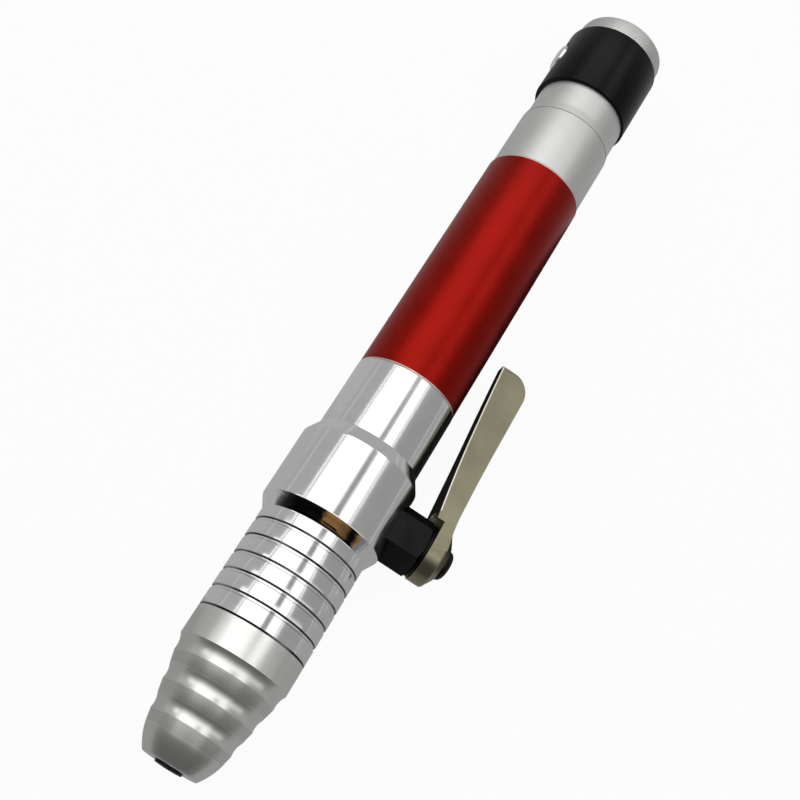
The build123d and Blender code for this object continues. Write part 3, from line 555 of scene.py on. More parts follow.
@dataclass(frozen=True)
class Finish:
    """A finish of one material slot."""

    suffix: ClassVar[str] = "finish"  # end of the material's name
    slot: str  # the record's material slot
    colour: Colour  # linear base colour
    metallic: float = 1.0  # 1 for bare metal
    roughness: float = 0.3  # middle roughness
    swing: float = 0.05  # how far roughness wanders
    tone: float = 0.04  # how far the colour wanders
    rings: float = 0.0  # depth of turning marks, in micrometres
    pitch: float = 0.25  # spacing of the turning marks, in millimetres
    grain: float = 0.0  # depth of fine grain, in micrometres
    grain_size: float = 0.12  # size of the grain, in millimetres
    scratches: float = 0.04  # share by which scratches brighten the colour
    coat_roughness: ClassVar[float] = 0.25
    coat: float = 0.0  # weight of a clear coat
    specular: float = 0.5  # specular level
    seams: tuple[Seam, ...] = ()  # painted lines: shade in seams and grooves, highlights on chamfers, and turned lines

    def material(self) -> bpy.types.Material:
        """The finish's material, built the first time that it is asked for.

        Returns:
            The shared material.
        """
        name = f"{self.slot}_{self.suffix}"
        if name in bpy.data.materials:
            return bpy.data.materials[name]
        made, tree = new_material(name)
        place = tree.node("ShaderNodeTexCoord").outputs["Object"]
        handling = HANDLING.on(tree, place)
        turning = TURNING.on(tree, place, Pitch=self.pitch)
        grain = GRAIN.on(tree, place, Size=self.grain_size)
        wander = tree.maths("SUBTRACT", handling["Patches"], 0.5)
        rings = tree.maths("MULTIPLY", turning["Height"], self.rings * MICRON)
        height = tree.maths("ADD", rings, tree.maths("MULTIPLY", grain["Height"], self.grain * MICRON))
        feeds = {
            "Base Color": self.marked(tree, self.handled(tree, handling, turning), place),
            "Metallic": self.metallic,
            "Roughness": tree.maths("MULTIPLY_ADD", wander, 2 * self.swing, self.roughness),
            "Normal": tree.node("ShaderNodeBump", {"Distance": MM, "Height": height}).outputs[0],
            "Specular IOR Level": self.specular,
            "Coat Weight": self.coat,
            "Coat Roughness": self.coat_roughness,
        }
        shader = tree.node("ShaderNodeBsdfPrincipled", feeds)
        tree.node("ShaderNodeOutputMaterial", {"Surface": shader.outputs[0]})
        return made

    def handled(self, tree: Tree, handling: Sockets, turning: Sockets) -> Socket:
        """The base colour with its patches, streaks and scratches.

        Args:
            tree: the material's tree.
            handling: outputs of the handling group.
            turning: outputs of the turning group.

        Returns:
            The colour.
        """
        streak = turning["Streak"] if self.rings else handling["Patches"]
        mixed = tree.maths("MULTIPLY", tree.maths("ADD", streak, handling["Patches"]), 0.5)
        dark, light = rgba(self.colour, 1 - self.tone), rgba(self.colour, 1 + self.tone)
        plain = tree.mix(tree.ramp(mixed, 0.3, 0.7), dark, light)
        scratches = tree.maths("MULTIPLY", handling["Scratches"], self.scratches)
        return tree.mix(scratches, plain, rgba(self.colour, lift=0.3))

    def marked(self, tree: Tree, colour: Socket, place: Socket) -> Socket:
        """The colour with its seams drawn in.

        Args:
            tree: the material's tree.
            colour: the clean colour.
            place: the coordinates that marks are read in.

        Returns:
            The marked colour.
        """
        # Painted lines: shade in seams and grooves, highlights on chamfers, and turned lines.
        for seam in self.seams:
            sizes = {"Start": seam.start, "Width": seam.width, "Pitch": seam.pitch, "Last": seam.last}
            mask = SEAM.on(tree, place, Strength=seam.strength, **sizes)["Mask"]
            colour = tree.mix(mask, colour, rgba(seam.colour))
        return colour


@dataclass(frozen=True)
class LitPatchFinish(Finish):
    """A finish painted dark all round one lit patch: painted shade outside the patch."""

    suffix: ClassVar[str] = "oiled"
    patch: Pair = (0.0, 1.0)  # Y of the patch's two sides, in millimetres
    fade: float = 1.0  # how softly the patch ends
    wander: float = 0.8  # how far its edge wanders
    oil: Colour = (0.004, 0.004, 0.004)  # linear colour of the painted shade

    def marked(self, tree: Tree, colour: Socket, place: Socket) -> Socket:
        """The colour with painted shade all round the patch and in a few dark slanting lines.

        Args:
            tree: the material's tree.
            colour: the clean colour.
            place: the coordinates that marks are read in.

        Returns:
            The marked colour.
        """
        first, last = self.patch
        wander = tree.maths("MULTIPLY_ADD", tree.noise(place, 900.0, 2.0), 2 * self.wander, -self.wander)
        across = tree.maths("ADD", tree.maths("DIVIDE", tree.parts(place)["Y"], MM), wander)
        away = tree.maths("ABSOLUTE", tree.maths("SUBTRACT", across, (first + last) / 2))
        half = (last - first) / 2
        inside = tree.ramp(away, half + self.fade, half - self.fade, soft=True)
        slant = tree.slanted(place, (0.0, 0.0, 0.95), (5.0, 0.45, 1.0))
        slant_line = tree.ramp(tree.noise(slant, 420.0, 1.0), 0.34, 0.38)
        # Painted shade outside the lit patch and in its dark slanting lines.
        return tree.mix(tree.maths("MULTIPLY", inside, slant_line), rgba(self.oil), colour)


@dataclass(frozen=True)
class EdgeHighlightFinish(Finish):
    """A finish with a painted highlight: a thin bright line along a bowed edge, standing for light on the
    rounded edge.
    """

    suffix: ClassVar[str] = "rubbed"
    start: float = 0.0  # place along the spindle where the line starts, in millimetres
    length: float = 1.0  # its length
    # Distance of the edge from the spindle at its start, middle and end.
    bow: Triple = (1.0, 1.0, 1.0)
    inset: float = 0.16  # distance of the line's middle from the edge
    width: float = 0.09  # half of its width
    bright: Colour = (0.95, 0.92, 0.84)  # linear colour of the painted highlight

    def marked(self, tree: Tree, colour: Socket, place: Socket) -> Socket:
        """The colour with the painted highlight line.

        Args:
            tree: the material's tree.
            colour: the plain colour.
            place: the coordinates that marks are read in.

        Returns:
            The marked colour.
        """
        near, middle, far = self.bow
        parts = tree.parts(place)
        share = tree.maths("MULTIPLY_ADD", parts["X"], 1 / (self.length * MM), -self.start / self.length)
        straight = tree.maths("MULTIPLY_ADD", share, far - near, near + self.inset)
        swell = tree.maths("MULTIPLY", share, tree.maths("SUBTRACT", 1.0, share))
        edge = tree.maths("MULTIPLY_ADD", swell, 4 * middle - 2 * (near + far), straight)
        away = tree.maths("ABSOLUTE", tree.maths("MULTIPLY_ADD", parts["Y"], 1 / MM, edge))
        line = tree.ramp(away, 0.7 * self.width, 1.5 * self.width, 1.0, 0.0, soft=True)
        # Painted highlight: the bright line along the edge.
        highlight_mask = tree.maths("MULTIPLY", line, tree.maths("GREATER_THAN", share, 0.0))
        return tree.mix(highlight_mask, colour, rgba(self.bright))


TURNED_LINE = (0.22, 0.21, 0.19)
# Linear colour of the painted highlight on the grip's end chamfers.
CHAMFER_HIGHLIGHT = (0.95, 0.80, 0.74)
SATIN_ALUMINIUM = Finish(
    "satin_aluminium", (0.80, 0.80, 0.77), roughness=0.28, swing=0.015, tone=0.05, rings=3.0, pitch=0.30,
    grain=0.15, scratches=0.0,
    seams=tuple(Seam(start, 0.16, 0.34, 0.36, 4, TURNED_LINE) for start in (4.42, 9.24, 14.08)),
)
POLISHED_STEEL = Finish(
    "polished_steel", (0.86, 0.87, 0.86), roughness=0.14, swing=0.04, tone=0.03, rings=0.9, pitch=0.3,
    # Painted shade: dark lines in the joint with the nose and on both walls of each barrel groove.
    seams=(Seam(24.22, 0.40, 1.0), Seam(27.95, 0.24, 0.95, 3.4, 4), Seam(27.36, 0.18, 0.75, 3.4, 4)),
)
BLACK_STEEL = Finish(
    "black_steel", (0.002, 0.002, 0.002), metallic=0.0, roughness=0.33, grain=1.2, scratches=0.01,
    specular=0.17,
)
RED_ANODISED = Finish(
    "red_anodised", (0.325, 0.007, 0.003), metallic=0.99, roughness=0.40, tone=0.08, grain=0.5, scratches=0.0,
    # Painted highlight: pale lines on the chamfers at both ends of the grip.
    coat=0.07, seams=(Seam(76.56, 0.42, 1.0, 51.68, 1, CHAMFER_HIGHLIGHT),),
)
MATT_SILVER = Finish(
    "matt_silver", (0.70, 0.71, 0.69), roughness=0.50, tone=0.02, grain=2.0, grain_size=0.09,
    # Painted shade in the crease at the sleeve's step; turned lines on the end cap.
    seams=(Seam(142.2, 0.22, 0.75), Seam(166.9, 0.20, 0.45, 0.55, 6, TURNED_LINE)),
)
BLACK_BAND = Finish(
    "black_band", (0.0015, 0.002, 0.0025), metallic=0.0, roughness=0.29, grain=1.0, scratches=0.003,
    specular=0.15,
)
NICKEL = Finish("nickel", (0.285, 0.262, 0.18), roughness=0.30, tone=0.10, grain=0.8, scratches=0.0)
BRASS = Finish("brass", (0.42, 0.24, 0.09), roughness=0.26, tone=0.08, rings=2.0)
# The shift ring's finish: painted shade all round one lit patch.
LIT_PATCH_BRASS = LitPatchFinish(
    "brass", (0.34, 0.18, 0.065), roughness=0.34, tone=0.15, rings=2.0, patch=(-4.0, 0.9), fade=0.6
)
GROUND_STEEL = Finish("ground_steel", (0.46, 0.46, 0.45), roughness=0.30, rings=2.0, pitch=0.15)
SPRING_STEEL = Finish("spring_steel", (0.32, 0.32, 0.33), roughness=0.35, grain=1.0)
RUBBER = Finish("rubber", (0.012, 0.012, 0.012), metallic=0.0, roughness=0.6, grain=3.0, scratches=0.0)

CASING_FINISHES = (SATIN_ALUMINIUM, POLISHED_STEEL, BLACK_STEEL, RED_ANODISED, MATT_SILVER, BLACK_BAND)
INNER_FINISHES = (NICKEL, BRASS, GROUND_STEEL, SPRING_STEEL, RUBBER)
FINISHES = {finish.slot: finish for finish in (*CASING_FINISHES, *INNER_FINISHES)}


# ---- Sub-assemblies ----


@dataclass
class Nose:
    """Turned nose cap and the collet in its mouth."""

    face: float = 5.1  # radius of the front face
    bulge: float = 0.22  # how far the front cone swells between its ends
    # The (along, radius) ends of each land.
    lands: tuple[tuple[Corner, Corner], ...] = (
        ((4.03, 7.17), (6.24, 7.66)), ((8.86, 8.08), (11.07, 8.6)), ((13.7, 9.0), (15.97, 9.6))
    )
    scallop: float = 0.24  # depth of the hollows between the lands
    band: float = 18.7  # start of the plain band behind the last hollow
    band_step: Pair = (0.04, 0.06)  # run and height of the small step up to the band
    seam: float = 0.18  # chamfer of the band at the joint with the barrel
    mouth: float = 2.95  # radius of the mouth
    lip: float = 0.8  # thickness of the wall round the mouth
    chamber: float = 4.7  # radius of the chamber behind the mouth
    thread: float = 8.62  # radius of the screwed joint
    thread_length: float = 5.7  # how far the joint runs forward from the seam
    boss: float = 6.98  # radius of the boss that clamps the bearings
    boss_length: float = 1.0  # its length
    boss_bore: float = 5.6  # its bore
    seal_face: float = 12.0  # front of the seal's seat
    jaw_bore: float = 1.5  # radius of the collet's bore
    jaw_depth: float = 15.0  # rear end of that bore
    taper: Pair = (1.4, 7.0)  # (start, end) of the collet's taper
    shank: Pair = (16.0, 2.1)  # (rear end, radius) of its shank
    stem: float = 1.4  # radius of the stem behind the shank
    slot: Pair = (12.0, 0.25)  # (rear end, half width) of its three slots

    def build(self) -> None:
        """Builds the nose cap and the collet."""
        self.cap()
        self.collet()

    def cap(self) -> None:
        """Turns the nose cap with its lands and hollows."""
        low, high = box_mm("nose_cap")
        end, radius = high.x, high.y
        run, step = self.band_step
        face, foot = (low.x, self.face, 0.12), (self.band, radius - step)
        outline = [face, *arc(face, self.lands[0][0], self.bulge)]
        for land, following in zip(self.lands, (*self.lands[1:], (foot,))):
            outline += [*land, *arc(land[1], following[0], -self.scallop)]
        spigot = end - self.thread_length
        clamp = spigot + self.boss_length
        outline += [
            foot, (self.band + run, radius), (end - self.seam, radius), (end, radius - self.seam),
            (end, self.thread), (spigot, self.thread), (spigot, self.boss), (clamp, self.boss),
            (clamp, self.boss_bore), (self.seal_face, self.boss_bore), (self.seal_face, self.chamber),
            (self.lip, self.chamber), (self.lip, self.mouth), (low.x, self.mouth, 0.1),
        ]
        turn("nose_shell", outline).fit("casing", SATIN_ALUMINIUM, "nose_cap", angle=14.0)

    def collet(self) -> None:
        """Turns the collet and saws its three slots."""
        low, high = box_mm("collet")
        (tip, cone), (shoulder, shank) = self.taper, self.shank
        outline = [
            (low.x, self.jaw_bore, 0.08), (low.x, high.y, 0.12), (tip, high.y), (cone, shank),
            (shoulder, shank), (shoulder, self.stem), (high.x, self.stem, 0.2), (high.x, 0.0),
            (self.jaw_depth, 0.0), (self.jaw_depth, self.jaw_bore),
        ]
        piece = turn("collet_jaws", outline, steps=96)
        front, (back, half) = low.x - PAST, self.slot
        for index in range(3):
            turned = Matrix.Rotation(index * math.tau / 3, 3, "X")
            corners = ((front, -half, 0.0), (back, -half, 0.0), (back, half, 0.0), (front, half, 0.0))
            saw = Workpiece("saw", [turned @ Vector(corner) for corner in corners])
            piece.work(saw.thicken(turned @ Vector((0.0, 0.0, 2 * high.y))), Join.CUT)
        piece.fit("drawbar", BLACK_STEEL, "collet")


@dataclass
class FrontHousing:
    """Grooved barrel, collar with its window and polished sleeve, in one turned piece."""

    grooves: int = 5  # number of grooves in the barrel
    first_groove: float = 3.5  # distance of the first groove from the seam
    pitch: float = 3.4  # distance between grooves
    groove_width: float = 0.82  # width of a groove at the surface
    groove_depth: float = 0.34  # its depth
    groove_walls: Pair = (0.08, 0.26)  # runs of its front and rear walls
    groove_ease: float = 0.05  # rounding of its corners
    cone_gap: float = 0.7  # how far the cone starts before the shift ring
    cone_front: float = 2.45  # length of the cone in front of the collar
    collar_length: float = 13.5  # length of the collar
    cone_rear: float = 2.7  # length of the cone behind it
    sleeve: float = 10.05  # radius of the polished sleeve
    bore: float = 8.85  # radius of the rear bore
    cavity_before: float = 1.2  # how far the ring's cavity runs in front of the window
    cavity: float = 7.4  # radius of the bore in front of it
    joint: Pair = (0.16, 0.2)  # chamfer at the joint with the nose: run and depth
    outside: float = 14.0  # distance from the spindle that clears the collar
    # (start, end, radius) of the rib behind the front bearings.
    rib: Triple = (31.5, 32.9, 5.6)
    seat_bore: float = 7.0  # radius of the seat of the front bearings
    spigot: float = 8.6  # radius of the front spigot
    # Start and end of the window, in degrees from the button's side towards the top.
    window: tuple[int, int] = (31, 124)
    seat: Pair = (10.5, 5.84)  # (distance from the spindle, radius) of the bush's flat seat
    tapping: Pair = (8.0, 4.02)  # the same of its tapped hole

    def build(self) -> None:
        """Turns the housing, opens its window and cuts the seat of the bush."""
        low, high = box_mm("front_housing")
        seam, barrel = box_mm("nose_cap")[1].xy
        cone = box_mm("shift_ring")[0].x - self.cone_gap
        collar = cone + self.cone_front
        collar_end = collar + self.collar_length
        cavity = cone - self.cavity_before
        rib_start, rib_end, rib = self.rib
        run, depth = self.joint
        outline = [
            (low.x, self.seat_bore), (low.x, self.spigot), (seam, self.spigot), (seam, barrel - depth),
            (seam + run, barrel), *self.groove_corners(seam, barrel), (cone, barrel, 0.12),
            (collar, high.z, 0.16), (collar_end, high.z, 0.22),
            (collar_end + self.cone_rear, self.sleeve, 0.12), (high.x, self.sleeve, 0.14),
            (high.x, self.bore), (collar, self.bore), (cone, self.bore), (cavity, self.bore),
            (cavity, self.cavity), (rib_end, self.cavity), (rib_end, rib), (rib_start, rib),
            (rib_start, self.seat_bore),
        ]
        piece = turn("front_housing_shell", outline, steps=360)
        self.open_window(piece, cone, collar)
        centre = (middle_x("pivot_bush"), 0.0, 0.0)
        for name, (start, radius) in (("seat", self.seat), ("tapping", self.tapping)):
            piece.work(turn(name, bar(start, self.outside, radius), Line.PIVOT, centre, 96), Join.CUT)
        piece.fit("casing", POLISHED_STEEL, "front_housing", angle=24.0)

    def groove_corners(self, seam: float, barrel: float) -> list[Corner]:
        """Outline of the grooves.

        Args:
            seam: where the barrel starts.
            barrel: its radius.

        Returns:
            The corners from the first groove to the last.
        """
        half, floor, ease = self.groove_width / 2, barrel - self.groove_depth, self.groove_ease
        front, rear = self.groove_walls
        found = []
        for index in range(self.grooves):
            middle = seam + self.first_groove + index * self.pitch
            found += [
                (middle - half, barrel, ease), (middle - half + front, floor, ease),
                (middle + half - rear, floor, ease), (middle + half, barrel, ease),
            ]
        return found

    def open_window(self, piece: Workpiece, start: float, end: float) -> None:
        """Deletes the cone over the window, inside and out, and walls the opening.

        Args:
            piece: the turned housing.
            start: where the cone starts.
            end: where it ends.
        """
        first, last = self.window

        def in_window(middle: Vector) -> bool:
            """Whether a face lies over the window."""
            return start < middle.x < end and first < math.degrees(math.atan2(middle.z, middle.y)) < last

        with piece.editing("FACE"):
            piece.pick("faces", in_window)
            bpy.ops.mesh.delete(type="FACE")
        with piece.editing("EDGE"):
            bpy.ops.mesh.select_all(action="DESELECT")
            bpy.ops.mesh.select_non_manifold(extend=False)
            bpy.ops.mesh.bridge_edge_loops()


@dataclass
class LeverWork:
    """Bush, washer, lever and screw on the side of the collar."""

    flats: float = 10.0  # distance across the bush's flats
    shoulder: float = 10.5  # distance of the hexagon's foot from the spindle
    neck: float = 4.0  # radius of the bush below the hexagon
    bush_bore: float = 2.53  # radius of the bush's bore
    relief: Pair = (0.8, 3.33)  # (depth, radius) of the wider bore at its foot
    # (depth, inset) corners of the bush's rim at the hexagon's corners.
    bush_rim: tuple[Corner, ...] = ((0.62, -0.3), (0.5, 0.02))
    bush_top: tuple[Pair, ...] = ((0.16, 5.15), (0.0, 4.75))  # (depth, radius) corners of its top
    washer_gap: float = 0.03  # gap between washer and lever
    washer_bore: float = 2.55  # radius of the washer's bore
    eye: float = 5.5  # radius of the lever's eye
    lift: float = 0.02  # how far the eye's foot stands off its seat
    wall: float = 3.0  # height of the eye's wall
    # (depth below the wall's top, inset) corners of the eye's rim.
    eye_rim: tuple[Corner, ...] = ((0.2, 0.0, 0.3), (-0.1, 0.6))
    crown_foot: Pair = (0.6, 0.7)  # where the crown bends: above the wall, and outside its flat
    crown_top: float = 3.4  # radius of the flat on the crown
    eye_bore: float = 2.52  # radius of the eye's bore
    eye_bore_past: float = 0.05  # how far that bore runs above the wall
    screw_hole: float = 1.55  # radius of the hole through the crown
    reach: float = 38.95  # distance from the pivot to the lever's tip
    spot: float = 7.2  # radius that the arm's inner face is cut back to round the bush
    # (distance from the pivot, half width) of the arm, from the neck to the tip.
    halves: tuple[Pair, ...] = (
        (0.9, 5.42), (4.0, 4.92), (7.5, 4.25), (11.0, 3.5), (16.0, 2.65), (21.0, 2.1), (30.0, 1.8),
        (38.95, 1.6),
    )
    face_start: float = 7.0  # distance from the pivot at which the arm's inner face starts
    # Distance of the arm's inner face from the spindle at its start, middle and tip.
    inner: Triple = (16.1, 14.4, 13.0)
    outer: Pair = (19.85, 19.65)  # distance of its outer face at the neck and tip
    ramp: float = 6.2  # where the outer face starts to rise towards the crown
    eases: Triple = (1.3, 0.5, 1.8)  # rounding of the arm's flanks, tip and bend
    blank: float = 5.0  # how far the arm's blank starts inside the seat
    root: Pair = (3.0, 0.4)  # where the arm's root ends: from the pivot, and beyond the inner face
    root_overlap: float = 0.04  # how far the root starts short of the wall's height
    bow_steps: int = 12  # number of steps along the bowed inner face
    tip_steps: int = 10  # number of steps round the tip
    half_block: float = 8.0  # half the width of the block that trims the arm
    tip_round: float = 4.4  # radius of the tip's outer corner
    screw_shank: float = 1.48  # radius of the screw
    head: float = 2.85  # radius of the screw's head
    # (depth, inset) corners of its top.
    head_dome: tuple[Corner, ...] = ((0.95, 0.0, 0.12), (0.55, 0.22), (0.22, 0.6), (0.04, 1.1), (0.0, 1.6))
    key: float = 2.0  # distance across the flats of the screw's socket
    key_depth: float = 0.8  # depth of that socket

    def __post_init__(self) -> None:
        """Reads the pivot and the heights of bush, seat and crown from the packed model."""
        self.pivot = middle_x("pivot_bush")
        low, high = box_mm("pivot_bush")
        self.bush_base, self.bush_end = -high.y, -low.y
        low, high = box_mm("lever")
        self.seat = max(-high.y, -box_mm("friction_washer")[0].y + self.washer_gap)
        self.top = -low.y

    def build(self) -> None:
        """Builds the four pieces at the pivot."""
        self.bush()
        self.washer()
        self.lever()
        self.screw()

    def turned(self, name: str, outline: Sequence[Corner], steps: int = 96) -> Workpiece:
        """Turns an outline about the pivot."""
        return turn(name, outline, Line.PIVOT, (self.pivot, 0.0, 0.0), steps)

    def hexagon(self, name: str, flats: float, start: float, end: float) -> Workpiece:
        """A hexagonal bar along the pivot, with corners fore and aft.

        Args:
            name: name of the piece.
            flats: distance across its flats.
            start: distance of its near end from the spindle.
            end: distance of its far end.

        Returns:
            The bar.
        """
        corner = flats / math.sqrt(3)
        outline = []
        for index in range(6):
            angle = index * math.tau / 6
            outline.append((self.pivot + corner * math.cos(angle), -start, corner * math.sin(angle)))
        return Workpiece(name, outline).thicken((0.0, start - end, 0.0))

    def bush(self) -> None:
        """Turns the bush with its chamfer and mills the hexagon."""
        corner, base, end = self.flats / math.sqrt(3), self.bush_base, self.bush_end
        depth, relief = self.relief
        rim = dome(end, corner, self.bush_rim)
        outline = [
            (base, relief), (base, self.neck), (self.shoulder, self.neck), (self.shoulder, rim[0][1]),
            *rim, *((end - below, radius) for below, radius in self.bush_top),
            (end, self.bush_bore), (base + depth, self.bush_bore), (base + depth, relief),
        ]
        piece = self.turned("pivot_bush_hex", outline)
        piece.work(self.hexagon("mill", self.flats, base - PAST, end + PAST), Join.KEEP_COMMON)
        piece.round_edges(width=0.10, segments=2, angle=40.0)
        piece.fit("casing", BLACK_STEEL, "pivot_bush", angle=30.0)

    def washer(self) -> None:
        """Turns the washer between bush and lever."""
        low, high = box_mm("friction_washer")
        bore, rim = self.washer_bore, high.z
        outline = [(-high.y, bore), (-high.y, rim, 0.1), (-low.y, rim, 0.1), (-low.y, bore)]
        self.turned("pivot_washer", outline).fit("casing", BLACK_STEEL, "friction_washer")

    def lever(self) -> None:
        """Cuts the arm from its plan and side outlines and welds it to the turned eye."""
        pivot, seat, top = self.pivot, self.seat, self.top
        foot, wall = seat + self.lift, seat + self.wall
        flank, corner = self.eases[:2]
        upper = [(pivot + along, self.blank - seat, half) for along, half in self.halves]
        lower = [(x, y, -z) for x, y, z in reversed(upper)]
        arm = Workpiece("lever_arm", [*upper, *lower])
        arm.ease([*upper[1:4], *lower[-4:-1]], flank)
        arm.ease([upper[-1], lower[0]], corner)
        arm.thicken((0.0, seat - top - self.blank - PAST, 0.0))
        arm.work(self.side_block(pivot + self.reach), Join.KEEP_COMMON)
        arm.work(self.turned("spot", bar(seat - self.blank - PAST, foot, self.spot)), Join.CUT)
        rise, spread = self.crown_foot
        eye = [
            (foot, 0.0), (foot, self.eye), *dome(wall, self.eye, self.eye_rim),
            (wall + rise, self.crown_top + spread), (top, self.crown_top), (top, 0.0),
        ]
        arm.work(self.turned("eye", eye, steps=128), Join.WELD)
        arm.round_edges(width=0.24, segments=3, angle=30.0)
        step = wall + self.eye_bore_past
        bore = [
            (seat - PAST, 0.0), (seat - PAST, self.eye_bore), (step, self.eye_bore),
            (step, self.screw_hole), (top + PAST, self.screw_hole), (top + PAST, 0.0),
        ]
        arm.work(self.turned("bore", bore, steps=64), Join.CUT)
        length = self.reach - self.face_start
        # The lever's finish paints a highlight along the arm's inner edge.
        rubbed = EdgeHighlightFinish(**vars(NICKEL), start=pivot + self.face_start, length=length, bow=self.inner)
        arm.fit("lever", rubbed, "lever", angle=28.0, flat=True)

    def side_block(self, tip: float) -> Workpiece:
        """The arm's side outline, as a block to trim the plan with.

        Args:
            tip: the lever's tip.

        Returns:
            The block.
        """
        (near, middle, far), (outer_neck, outer_tip) = self.inner, self.outer
        pivot, foot, face = self.pivot, -self.seat - self.lift, self.pivot + self.face_start
        start, depth = -self.seat - self.wall + self.root_overlap, self.half_block
        root, beyond = pivot + self.root[0], -near - self.root[1]
        outline = [(pivot, start), (pivot, foot), (root, foot), (root, beyond)]
        for index in range(self.bow_steps + 1):
            share = index / self.bow_steps
            bow = near + (far - near) * share + 4 * (middle - (near + far) / 2) * share * (1 - share)
            outline.append((face + (tip - face) * share, -bow))
        round_x, round_y, radius = tip - self.tip_round, -outer_tip + self.tip_round, self.tip_round
        for index in range(self.tip_steps + 1):
            angle = index * math.pi / (2 * self.tip_steps)
            outline.append((round_x + radius * math.cos(angle), round_y - radius * math.sin(angle)))
        outline.append((pivot + self.ramp, -outer_neck))
        block = Workpiece("side", [(x, y, -depth) for x, y in outline])
        block.ease([(*outline[-1], -depth)], self.eases[2], segments=5)
        return block.thicken((0.0, 0.0, 2 * depth))

    def screw(self) -> None:
        """Turns the screw and sinks its hexagon socket."""
        low, high = box_mm("lever_screw")
        start, end, shank = -high.y, -low.y, self.screw_shank
        outline = [(start, 0.0), (start, shank, 0.2), (self.top, shank), (self.top, self.head, 0.1)]
        outline += [*dome(end, self.head, self.head_dome), (end, 0.0)]
        piece = self.turned("lever_screw_head", outline)
        piece.work(self.hexagon("key", self.key, end - self.key_depth, end + PAST), Join.CUT)
        piece.fit("lever", BLACK_STEEL, "lever_screw", angle=40.0)


@dataclass
class Grip:
    """Red anodised grip tube between the polished sleeve and the rear sleeve."""

    bore: float = 6.4  # radius of the plain bore
    spigot: float = 8.83  # radius of the screwed spigots
    seat: float = 7.0  # radius of the rear bearings' seat
    seat_before_end: float = 16.4  # how far that seat starts before the rear end of the body
    edge: float = 0.25  # chamfer of the visible body
    ring_back: float = 1.2  # distance of each O-ring from the body's end
    ring_half: float = 0.5  # half the width of its groove
    ring_floor: float = 7.91  # radius of the groove's floor

    def build(self) -> None:
        """Turns the grip."""
        low, high = box_mm("grip_tube")
        start, end = box_mm("front_housing")[1].x, box_mm("rear_sleeve")[0].x
        radius, edge, spigot, seat = high.z, self.edge, self.spigot, end - self.seat_before_end
        outline = [
            (low.x, self.bore), (low.x, spigot), *self.ring_groove(start - self.ring_back), (start, spigot),
            (start, radius - edge, 0.04), (start + edge, radius, 0.08), (end - edge, radius, 0.08),
            (end, radius - edge, 0.04), (end, spigot), *self.ring_groove(end + self.ring_back),
            (high.x, spigot), (high.x, self.seat), (seat, self.seat), (seat, self.bore),
        ]
        turn("grip_shell", outline).fit("casing", RED_ANODISED, "grip_tube", angle=24.0)

    def ring_groove(self, middle: float) -> list[Corner]:
        """Outline of one O-ring groove about its middle."""
        front, back, floor = middle - self.ring_half, middle + self.ring_half, self.ring_floor
        return [(front, self.spigot), (front, floor), (back, floor), (back, self.spigot)]


